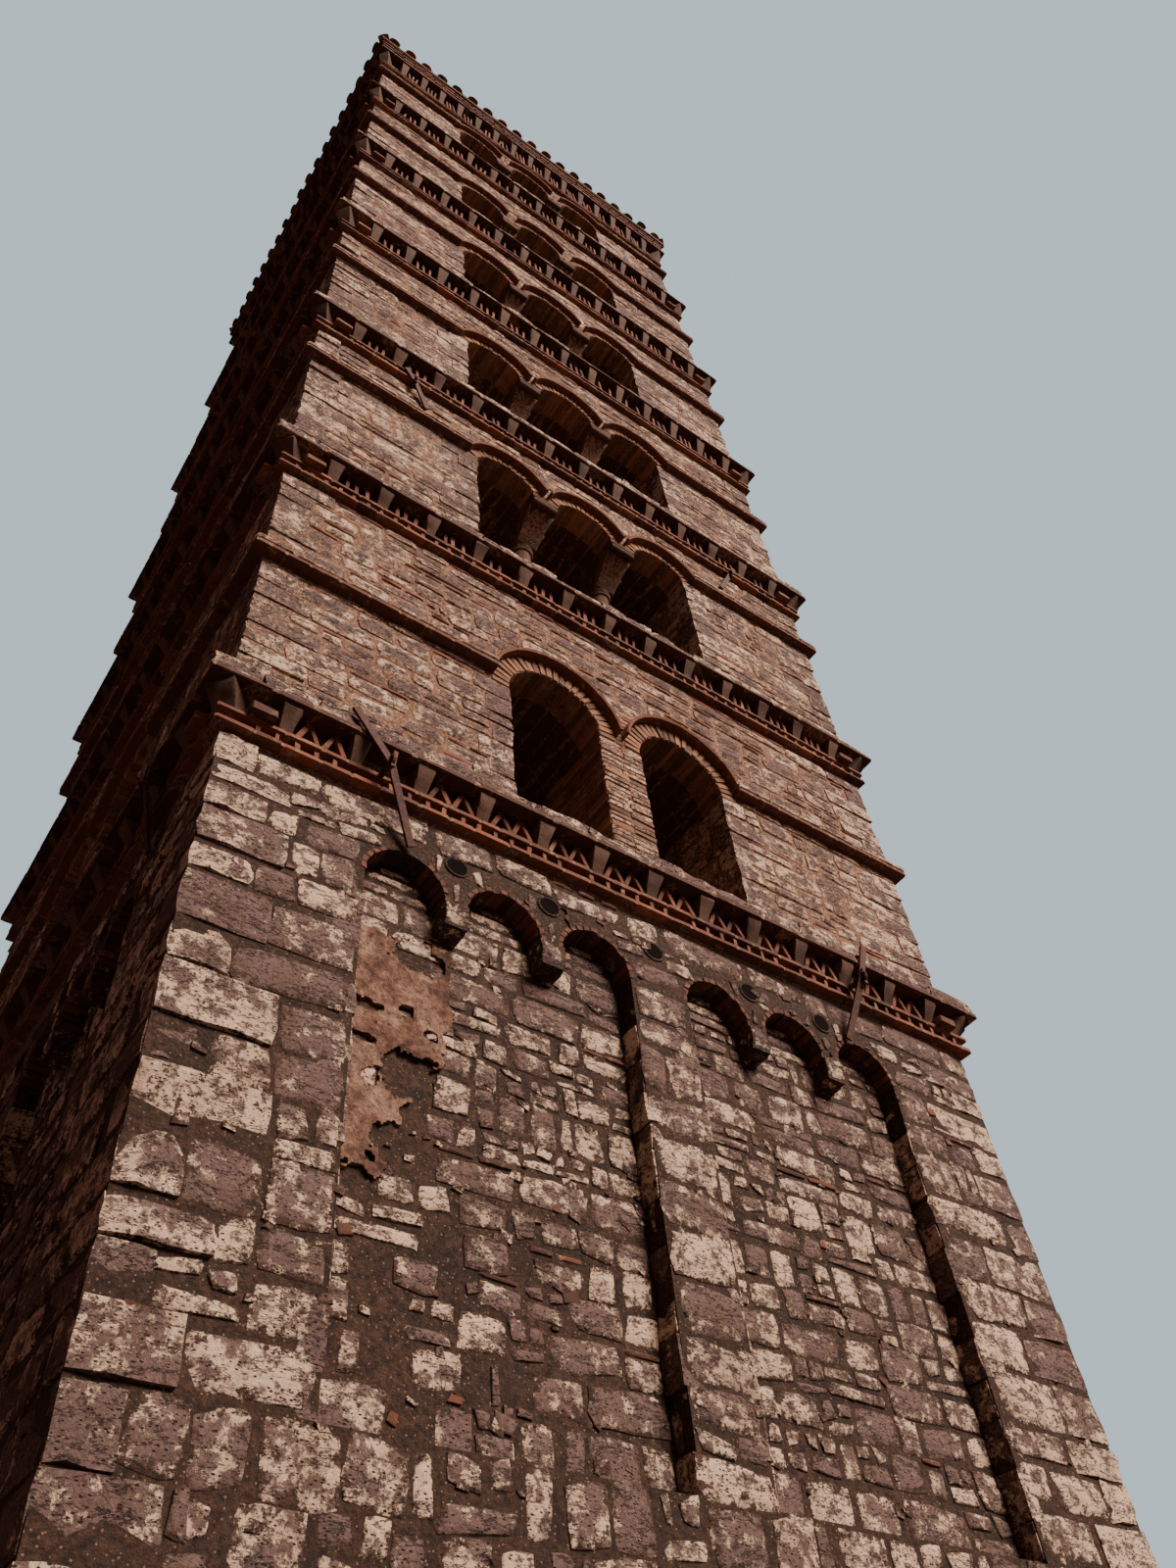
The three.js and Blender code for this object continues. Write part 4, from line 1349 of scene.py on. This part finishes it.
class TOWER_OT_columns(bpy.types.Operator):
    """Stand the columns with their flared capitals in the windows, and face the brick pier of storey 2"""

    bl_idname = "tower.columns"
    bl_label = "Columns and piers"

    def execute(self, context):
        for storey in STOREYS:
            heap = Heap(80 + storey.number)
            if storey.lights == 2:
                self.face_pier(heap, storey)
            else:
                self.stand_columns(heap, storey)
            heap.finish_piece(f"storey_{storey.number}_columns", ("marble", "arch_brick", "stone"), "marble")
        return {"FINISHED"}

    def face_pier(self, heap, storey):
        """Brick courses round the pier between the two lights."""
        half = storey.support / 2
        bottom, top = storey.floor + SILL, storey.springing
        count = round((top - bottom) / BRICK_COURSE)
        for side in range(4):
            for i in range(count):
                low = bottom + i * (top - bottom) / count
                high = low + (top - bottom) / count - 0.012
                kind = 1 if heap.rng.random() < 0.35 else 2
                brick_row(heap, face_wall(side), -half - 0.012, half + 0.012, low, high, 0.012, 0.12,
                          0.22 if i % 2 else 0.3, kind, wear=0.006)
                for looks in (-1, 1):
                    wall = reveal_wall(side, looks * half, looks, storey.wall)
                    brick_row(heap, wall, 0.0, storey.wall, low, high, 0.012, 0.06, 0.27, 1)

    def stand_columns(self, heap, storey):
        """A spun column with its base and neck rings, a carved capital and a scroll at each of its ends."""
        bottom, top = storey.floor + SILL, storey.springing
        neck = top - CAPITAL_HEIGHT
        column = spin_profile([
            (0.0, bottom), (0.165, bottom), (0.172, bottom + 0.03), (0.165, bottom + 0.055),
            (0.135, bottom + 0.065), (0.13, bottom + 0.085), (0.148, bottom + 0.1), (0.14, bottom + 0.12),
            (0.118, bottom + 0.13),
            (0.116, bottom + 0.5), (0.112, neck - 0.3), (0.114, neck - 0.11),
            (0.135, neck - 0.1), (0.14, neck - 0.08), (0.13, neck - 0.06), (0.122, neck - 0.05),
            (0.14, neck - 0.035), (0.146, neck - 0.015), (0.135, neck + 0.002), (0.0, neck + 0.004)], 14)
        capital = self.shape_capital(storey, neck, top)
        leaves = self.carve_leaves(self.shape_leaf(), storey, neck, top)
        scroll = tipped(spin_profile(
            [(0.0, -0.5), (0.042, -0.5), (0.05, -0.42), (0.05, 0.42), (0.042, 0.5), (0.0, 0.5)], 10), "Y")
        for side in range(4):
            wall = face_wall(side)
            for x in storey.supports:
                place = [(x, storey.wall / 2, 0)]
                heap.put(column, wall, place, rough=0.001)
                heap.put(capital, wall, place, rough=0.0012)
                heap.put(leaves, wall, place, rough=0.001, tone=0.75)
                ends = [(x, y, top - SCROLL_DROP) for y in (SCROLL_IN, storey.wall - SCROLL_IN)]
                heap.put(scroll, wall, ends, (storey.support - 0.02, 1, 1), rough=0.001)

    def shape_capital(self, storey, neck, top):
        """A crutch capital: square at the shaft, as long as the wall is thick at its top, and ribbed."""
        deselect_all()
        bpy.ops.mesh.primitive_cube_add(size=1)
        pick("FACE", lambda centre, normal: True)
        bpy.ops.mesh.subdivide(number_cuts=5)
        model = take_model()
        x, y, z = model.points.T.copy()
        rise = z + 0.5
        wide, deep = self.flare(storey, rise)
        leaf = np.sin(np.pi * np.clip(rise / CAPITAL_HEAD, 0, 1)) * (rise < CAPITAL_HEAD)
        at_end = np.abs(np.abs(y) - 0.5) < 0.01
        ribs = 0.014 * leaf * np.cos(2 * np.pi * 3 * x)
        return model._replace(points=spread(
            x * wide, y * deep + np.sign(y) * ribs * at_end, neck + rise * (top - 0.001 - neck)))

    def flare(self, storey, rise):
        """Width and depth of a capital at a share of its height."""
        flare = np.clip(rise / CAPITAL_HEAD, 0, 1) ** 1.35
        wide, deep = CAPITAL_FOOT
        return wide + (storey.support + 0.004 - wide) * flare, deep + (storey.wall + 0.012 - deep) * flare

    def shape_leaf(self):
        """A leaf one unit each way: pointed, with a groove down its middle and a tip that curls outwards."""
        stand_grid(4, 5)
        model = take_model()
        across, back, up = model.points.T.copy()
        up = up + 0.5
        width = np.interp(up, [0, 0.35, 0.7, 1], [0.75, 1.0, 0.8, 0.3])
        curl = np.clip((up - 0.65) / 0.35, 0, 1) ** 2
        height = 0.55 + 0.2 * up - 0.3 * (np.abs(across) < 0.05) - 0.45 * (2 * across) ** 2 + 0.8 * curl
        return model._replace(points=spread(across * width, np.where(back < 0.5, -height, 0.3), up))

    def carve_leaves(self, leaf, storey, neck, top):
        """Two tiers of leaves on both long sides of a capital, laid on its flare."""
        parts = []
        across, out, up = leaf.points.T
        for looks in (-1, 1):
            for start, height, places in LEAF_TIERS:
                for place in places:
                    rise = start + up * height
                    wide, deep = self.flare(storey, rise)
                    x = looks * (wide / 2 - 0.03 * out)
                    y = (place - looks * across * 0.9 / len(places)) * deep
                    points = spread(x, y, neck + rise * (top - neck))
                    corners = leaf.corners + len(parts) * len(leaf.points)
                    parts.append(leaf._replace(points=points, corners=corners))
        return Model(*(np.concatenate(values) for values in zip(*parts)))


# The cornices

BRACKET_REACH = 3.1
TOOTH = (0.036, 0.11, TOOTH_ROW + 0.002)
THIN_BRICK = 0.038
THIN_DEPTH = 0.14
# The leaning bricks of the front have fallen out beside the left anchor
BROKEN_AT = -2.34
LEANING_BASE = 0.165
LEANING_PLACES = (-0.092, 0.092)
LOW_BLOCK = (0.2, 0.28, 0.07)
LOW_BLOCK_PLACES = (-3.285, 3.285)
CRUST_STONES = 17
# Brick rows under the roof: how many, how far the first stands out and how far each steps out over the last
EAVES_ROWS, EAVES_OUT, EAVES_STEP = 6, 0.1, 0.022
EAVES_SLAB_OUT = 0.236


def bracket_step(brackets):
    return 2 * BRACKET_REACH / (brackets - 1)


def stand_bricks(heap, side, places, deep, height, size, corner, rough, lean=None):
    """Bricks on end along a side, all at one depth and one height."""
    heap.put(kit().brick, face_wall(side), spread(places, deep, height), size, 0, corner, rough, lean)


class TOWER_OT_cornices(bpy.types.Operator):
    """Build the cornices: bands, teeth, leaning and upright bricks, stone brackets, slab and crust"""

    bl_idname = "tower.cornices"
    bl_label = "Cornices"

    def execute(self, context):
        sizes = context.scene.tower_sizes
        for number in range(1, 7):
            heap = Heap(100 + number)
            low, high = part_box(f"cornice_{number}")
            ledge = self.lower_bands(heap, sizes, low.z + BAND_FROM, number == 1)
            shelf = high.z - SLAB
            fill = self.leaning_bricks if number == 1 else self.upright_bricks
            fill(heap, ledge, shelf - 0.002, sizes.brackets)
            self.brackets(heap, ledge, shelf - 0.002, sizes.brackets)
            self.low_blocks(heap, ledge)
            self.slab(heap, shelf - 0.003, high.z + 0.003, SLAB_OUT + 0.006)
            self.crust(heap, kit().big_block if number < 3 else kit().block, high.z)
            heap.finish_piece(f"cornice_{number}_bricks", ("brick", "marble", "stone"), "brick")
        self.eaves(Heap(107), sizes)
        return {"FINISHED"}

    def eaves(self, heap, sizes):
        """The uppermost cornice, whose brick rows step out over the slab to a second slab."""
        ledge = self.lower_bands(heap, sizes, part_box("eaves_cornice")[0].z, False)
        self.upright_bricks(heap, ledge, EAVES_SLAB - 0.002, sizes.brackets + 2)
        self.brackets(heap, ledge, EAVES_SLAB - 0.002, sizes.brackets + 2)
        self.slab(heap, EAVES_SLAB - 0.003, EAVES_SLAB + SLAB + 0.003, SLAB_OUT + 0.006)
        first = EAVES_SLAB + SLAB + 0.006
        height = (EAVES_TOP - SLAB - first) / EAVES_ROWS
        self.dentils(heap, first, first + height, sizes.tooth_pitch)
        for row in range(1, EAVES_ROWS):
            bottom = first + row * height
            out = EAVES_OUT + row * EAVES_STEP
            brick_band(heap, bottom, bottom + height - 0.012, out, 0.2, sizes.brick_length)
        self.slab(heap, EAVES_TOP - SLAB - 0.003, EAVES_TOP - 0.001, EAVES_SLAB_OUT)
        heap.finish_piece("eaves_bricks", ("brick", "marble", "stone"), "brick")

    def lower_bands(self, heap, sizes, low, broken):
        """Two thin brick bands with the row of little upright bricks between them. Gives the upper ledge."""
        upper = low + BAND + TOOTH_ROW
        for bottom in (low, upper):
            brick_band(heap, bottom - 0.002, bottom + BAND + 0.002, BAND_OUT + 0.006, THIN_DEPTH,
                       sizes.brick_length)
        count = int((2 * HALF + 0.1) / sizes.tooth_pitch)
        places = centred(count, sizes.tooth_pitch)
        for side in range(4):
            kept = places[heap.rng.random(count) > (0.12 if broken and side == 0 else 0.02)]
            kept = kept + heap.rng.normal(0, 0.006, len(kept))
            stand_bricks(heap, side, kept, -0.012, (low + BAND + upper) / 2, TOOTH,
                         0.004, 0.002, heap.rng.normal(0, 0.04, len(kept)))
        return upper + BAND

    def dentils(self, heap, low, high, pitch):
        """A row of brick ends with gaps as wide as themselves."""
        places = centred(int((2 * HALF + 0.2) / pitch), pitch)
        for side in range(4):
            size = (pitch * 0.5, 0.16, high - low - 0.01)
            stand_bricks(heap, side, places, -0.03, (low + high) / 2, size, 0.003, 0.002)

    def upright_bricks(self, heap, ledge, shelf, brackets):
        """Three thin bricks on end in each gap between brackets, seldom quite plumb."""
        step = bracket_step(brackets)
        gaps = centred(brackets - 1, step)
        size = (THIN_BRICK, THIN_DEPTH, shelf - ledge)
        for side in range(4):
            places = (gaps[:, None] + step * np.array([-0.19, 0.0, 0.19])).ravel()
            places = places[heap.rng.random(len(places)) > 0.05]
            places = places + heap.rng.normal(0, 0.008, len(places))
            stand_bricks(heap, side, places, THIN_DEPTH / 2 - BAND_OUT, (ledge + shelf) / 2, size,
                         0.004, 0.002, heap.rng.normal(0, 0.06, len(places)))

    def leaning_bricks(self, heap, ledge, shelf, brackets):
        """Two pairs of thin bricks in each gap between brackets, which lean on one another like rafters."""
        gaps = centred(brackets - 1, bracket_step(brackets))
        height = shelf - 0.002 - ledge
        half = LEANING_BASE / 2
        size = (THIN_BRICK, THIN_DEPTH, math.hypot(half, height) - 0.004)
        for side in range(4):
            middles = np.concatenate([gaps + place for place in LEANING_PLACES])
            if side == 0:
                middles = middles[np.abs(middles - BROKEN_AT) > 0.2]
            middles = middles + heap.rng.normal(0, 0.004, len(middles))
            for sign in (-1, 1):
                lean = -sign * math.atan2(half, height) + heap.rng.normal(0, 0.02, len(middles))
                stand_bricks(heap, side, middles + sign * half / 2, THIN_DEPTH / 2 - BAND_OUT,
                             ledge + height / 2, size, 0.003, 0.0015, lean)

    def brackets(self, heap, ledge, shelf, count):
        """Marble brackets along each side, and one turned cornerwise at each corner."""
        height = shelf - ledge
        out = SLAB_OUT - 0.025
        for side in range(4):
            places = centred(count, bracket_step(count)) + heap.rng.normal(0, 0.006, count)
            middles = spread(places, 0.05 - out / 2, ledge + height / 2)
            sizes = spread(heap.rng.uniform(0.135, 0.155, count), out + 0.1, height)
            heap.put(kit().bracket, face_wall(side), middles, sizes, 1, corner=0.004, rough=0.003)
            heap.put(kit().bracket, face_wall(side), [(HALF - 0.03, 0.03, ledge + height / 2)],
                     (0.22, 2 * out + 0.06, height), 1, corner=0.004, rough=0.003, swing=math.pi / 4)

    def low_blocks(self, heap, ledge):
        """Low plain blocks between each corner bracket and its neighbours."""
        for side in range(4):
            stand_bricks(heap, side, LOW_BLOCK_PLACES, -0.02, ledge + LOW_BLOCK[2] / 2, LOW_BLOCK,
                         0.006, 0.002)

    def slab(self, heap, low, high, out):
        """Thin stone slabs over the brackets."""
        brick_band(heap, low, high, out, 0.3, 0.52, gap=0.006, wear=0.004, lean=0.002, tone=0.0)

    def crust(self, heap, block, top):
        """A low course of eroded stone bedded on the slab."""
        out = SLAB_OUT - 0.018
        for side in range(4):
            reach = HALF + out if side % 2 == 0 else HALF + out - 0.3
            cuts = np.linspace(-reach, reach, CRUST_STONES + 1)
            cuts[1:-1] += heap.rng.uniform(-0.12, 0.12, CRUST_STONES - 1)
            heights = heap.rng.uniform(0.12, 0.165, CRUST_STONES)
            faces = out - heap.rng.uniform(0, 0.02, CRUST_STONES)
            middles = spread((cuts[1:] + cuts[:-1]) / 2, 0.15 - faces, top + 0.004 + heights / 2)
            sizes = spread(np.diff(cuts) - 0.004, 0.3, heights)
            heap.put(block, face_wall(side), middles, sizes, 2, corner=0.012, rough=0.009, tone=0.75)


# Eyes of the tie rods: side, place along it, distance out and height
TIE_EYES = [
    (side, sign * x, out, z)
    for side, sign in ((0, 1), (2, -1)) for x, out, z in (
        (-2.38, 0.225, 8.181), (2.13, 0.225, 8.181), (-2.35, 0.1, 15.19), (2.32, 0.1, 15.19))
] + [(3, 2.74, 0.225, 8.181), (1, -2.74, 0.225, 8.181)]
EYE_RADIUS = 0.052
EYE_IRON = 0.014


class TOWER_OT_tie_eyes(bpy.types.Operator):
    """Forge the eye of each tie rod round its anchor, with the wedge that holds it"""

    bl_idname = "tower.tie_eyes"
    bl_label = "Eyes of the tie rods"

    def execute(self, context):
        heap = Heap(141)
        section = [(EYE_RADIUS + EYE_IRON * math.cos(a), EYE_IRON * math.sin(a))
                   for a in np.linspace(0, math.tau, 9)]
        eye = tipped(spin_profile(section, 20), "Y")
        for side, x, out, z in TIE_EYES:
            heap.put(eye, face_wall(side), [(x, -out, z)], rough=0.0008)
            heap.put(kit().brick, face_wall(side), [(x + 0.012, -out - 0.026, z + 0.01)], (0.03, 0.022, 0.17),
                     corner=0.003, rough=0.001, lean=0.12)
        heap.finish_piece("tie_rod_eyes", ("iron",), "iron")
        return {"FINISHED"}


# The roof

ROOF_REACH = HALF + ROOF_OUT
DIAGONAL = math.sqrt(2)
TILE_LENGTH = 0.52
TILE_ROW = 0.4
# The hip tiles: the distance from one to the next, the place of the first and how much of the hip they leave
HIP_ROW, HIP_START, HIP_REST = 0.42, 0.43, 0.48
CROWN = 0.13


class TOWER_OT_roof(bpy.types.Operator):
    """Tile the low roof: boards, cover and under tiles, and hip tiles"""

    bl_idname = "tower.roof"
    bl_label = "Roof"

    def execute(self, context):
        self.board()
        heap = Heap(122)
        tile = shape_tile()
        pan = flipped(tile)
        pitch = context.scene.tower_sizes.tile_pitch
        rise = ROOF_TOP - ROOF_EDGE
        slope = math.hypot(ROOF_REACH, rise)
        tilt = np.array(Matrix.Rotation(math.atan2(rise, ROOF_REACH), 3, "X"))
        across = int(ROOF_REACH / pitch) + 1
        xs = np.arange(-across, across + 1) * pitch
        for side in range(4):
            face = about_z(side * math.pi / 2)
            wall = Wall(face @ tilt, face @ np.array([0, -ROOF_REACH, ROOF_EDGE - CROWN]))
            for row in range(int(slope / TILE_ROW) + 1):
                up = 0.1 + row * TILE_ROW
                if up + 0.3 > slope:
                    continue
                limit = ROOF_REACH * (1 - (up + 0.25) / slope)
                covers = xs[np.abs(xs) < limit]
                pans = xs + pitch / 2
                pans = pans[np.abs(pans) < limit + 0.1]
                for model, places, shift, height, size in (
                        (tile, covers, 0.25, 0.02, (0.25, TILE_LENGTH, 0.22)),
                        (pan, pans, 0.29, 0.1, (0.27, TILE_LENGTH, -0.16))):
                    places = places + heap.rng.normal(0, 0.006, len(places))
                    ups = up + shift + heap.rng.normal(0, 0.01, len(places))
                    heap.put(model, wall, spread(places, ups, height), size, rough=0.0015)
        self.hips(heap, tile, rise)
        heap.finish_piece("roof_tiles", ("tile",), "tile")
        return {"FINISHED"}

    def board(self):
        """The boards under the tiles, one hollow four-sided shell in place of the CAD roof."""
        inner, outer = (ROOF_REACH - 0.75) * DIAGONAL, (ROOF_REACH - 0.1) * DIAGONAL
        under = EAVES_TOP + 0.001
        deck = spin_profile([
            (inner, under), (outer, under), (outer, ROOF_EDGE - 0.1), (0.0, ROOF_TOP - 0.14),
            (0.0, ROOF_TOP - 0.3), (inner, under)], 4)
        boards = Heap(121)
        boards.put(deck, Wall(about_z(math.pi / 4), np.zeros(3)), [(0, 0, 0)])
        made = boards.finish_piece("roof_boards", ("oak",), "floor")
        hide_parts("roof")

    def hips(self, heap, tile, rise):
        """A line of cover tiles up each hip, and a cap where they meet."""
        reach = ROOF_REACH * DIAGONAL
        tilt = np.array(Matrix.Rotation(math.atan2(rise, reach), 3, "X"))
        count = int((math.hypot(reach, rise) - HIP_REST) / HIP_ROW)
        middles = spread(0.0, HIP_START + np.arange(count) * HIP_ROW, 0.015)
        for side in range(4):
            turn = about_z(math.pi / 4 + side * math.pi / 2)
            wall = Wall(turn @ tilt, turn @ np.array([0, -reach, ROOF_EDGE - 0.1]))
            heap.put(tile, wall, middles, (0.24, TILE_LENGTH, 0.18), rough=0.002)
        cap = spin_profile([(0.0, ROOF_TOP - 0.02), (0.1, ROOF_TOP - 0.05), (0.2, ROOF_TOP - 0.13),
                            (0.26, ROOF_TOP - 0.2), (0.0, ROOF_TOP - 0.2)], 12)
        heap.put(cap, Wall(np.eye(3), np.zeros(3)), [(0, 0, 0)])


# The stage

# The camera of the photo: its place, its angles in degrees and its lens
CAMERA_PLACE = (-4.7473, -8.5383, 1.6)
CAMERA_YAW, CAMERA_PITCH, CAMERA_ROLL = 40.5515, 49.5446, -7.0354
CAMERA_LENS, CAMERA_SENSOR = 27.89, 36
# Lamps: name, strength, degrees round the tower from its front and degrees over the floor
LAMPS = (("key_light", 7.9, 20, 37), ("back_light", 1.8, 155, 48))


class TOWER_OT_stage(bpy.types.Operator):
    """Set the pale floor, the soft studio light and the camera of the photo's angle"""

    bl_idname = "tower.stage"
    bl_label = "Floor, light and camera"

    def execute(self, context):
        self.lay_floor()
        for name, energy, around, above in LAMPS:
            self.hang_lamp(name, energy, math.radians(around), math.radians(above))
        self.fill_light(context.scene)
        self.aim_camera(context.scene)
        return {"FINISHED"}

    def lay_floor(self):
        """The floor is pale to the camera and throws only a little light up under the cornices."""
        deselect_all()
        bpy.ops.mesh.primitive_plane_add(size=300, location=(0, 0, -0.01))
        floor = bpy.context.object
        floor.name = "studio_floor"
        material, tree = start_material("pale_studio_floor", 0.9)
        at_camera = add(tree, "LightPath", output="Is Camera Ray")
        seen = add(tree, "Mix", {0: at_camera, MIX_A: linear("#4A3C38"), MIX_B: linear("#D8D3CA")}, **MIX)
        floor.data.materials.append(end_material(material, seen))

    def fill_light(self, scene):
        """A warm dim fill from all round, behind which the camera sees a pale backdrop."""
        world = bpy.data.worlds.new("soft_fill")
        scene.world = world
        world.use_nodes = True
        tree = world.node_tree
        tree.nodes.clear()
        seen = add(tree, "Background", {"Color": linear("#C9DCE6"), "Strength": 1.0})
        fill = add(tree, "Background", {"Color": linear("#B27A72"), "Strength": 0.33})
        at_camera = add(tree, "LightPath", output="Is Camera Ray")
        mixed = add(tree, "MixShader", {0: at_camera, 1: fill, 2: seen})
        add(tree, "OutputWorld", {"Surface": mixed})

    def hang_lamp(self, name, energy, around, above):
        """A broad lamp far away, turned round the tower from its front and raised over the floor."""
        lamp = bpy.data.lights.new(name, "SUN")
        lamp.energy = energy
        lamp.angle = math.radians(30)
        lamp.color = linear("#FFE7D9")
        hung = bpy.data.objects.new(name, lamp)
        bpy.context.scene.collection.objects.link(hung)
        level = math.cos(above)
        towards = Vector((math.sin(around) * level, -math.cos(around) * level, math.sin(above)))
        hung.rotation_euler = towards.to_track_quat("Z", "Y").to_euler()

    def aim_camera(self, scene):
        """The camera stands near the foot of the front, to its left, and looks steeply up."""
        yaw, pitch, roll = (math.radians(angle) for angle in (CAMERA_YAW, CAMERA_PITCH, CAMERA_ROLL))
        ahead = Vector((math.sin(yaw) * math.cos(pitch), math.cos(yaw) * math.cos(pitch), math.sin(pitch)))
        right = Vector((math.cos(yaw), -math.sin(yaw), 0))
        up = right.cross(ahead)
        right, up = math.cos(roll) * right + math.sin(roll) * up, math.cos(roll) * up - math.sin(roll) * right
        data = bpy.data.cameras.new("photo_camera")
        data.sensor_width = CAMERA_SENSOR
        data.lens = CAMERA_LENS
        data.clip_end = 500
        camera = bpy.data.objects.new("photo_camera", data)
        scene.collection.objects.link(camera)
        turn = Matrix((right, up, -ahead)).transposed().to_4x4()
        camera.matrix_world = Matrix.Translation(CAMERA_PLACE) @ turn
        scene.camera = camera


class TOWER_PT_panel(bpy.types.Panel):
    """Lists the sizes, the colours and the pieces of the tower"""

    bl_label = "Bell tower"
    bl_idname = "TOWER_PT_panel"
    bl_space_type = "VIEW_3D"
    bl_region_type = "UI"
    bl_category = "Bell tower"

    def draw(self, context):
        for group in (context.scene.tower_sizes, context.scene.tower_colours):
            for name in group.__annotations__:
                self.layout.prop(group, name)
        for piece in PIECES:
            self.layout.operator(piece.bl_idname)


PIECES = (
    TOWER_OT_frame_finish, TOWER_OT_foot_stones, TOWER_OT_blind_arcade, TOWER_OT_plaster,
    TOWER_OT_storey_stones, TOWER_OT_window_arches, TOWER_OT_columns, TOWER_OT_cornices, TOWER_OT_tie_eyes,
    TOWER_OT_roof, TOWER_OT_stage,
)


def register():
    for group in (TowerSizes, TowerColours, *PIECES, TOWER_PT_panel):
        bpy.utils.register_class(group)
    bpy.types.Scene.tower_sizes = PointerProperty(type=TowerSizes)
    bpy.types.Scene.tower_colours = PointerProperty(type=TowerColours)


def unregister():
    del bpy.types.Scene.tower_colours
    del bpy.types.Scene.tower_sizes
    for group in reversed((TowerSizes, TowerColours, *PIECES, TOWER_PT_panel)):
        bpy.utils.unregister_class(group)


def main():
    register()
    bpy.ops.tower.frame_finish()
    bpy.ops.tower.foot_stones()
    bpy.ops.tower.blind_arcade()
    bpy.ops.tower.plaster()
    bpy.ops.tower.storey_stones()
    bpy.ops.tower.window_arches()
    bpy.ops.tower.columns()
    bpy.ops.tower.cornices()
    bpy.ops.tower.tie_eyes()
    bpy.ops.tower.roof()
    bpy.ops.tower.stage()


if __name__ == "__main__":
    main()
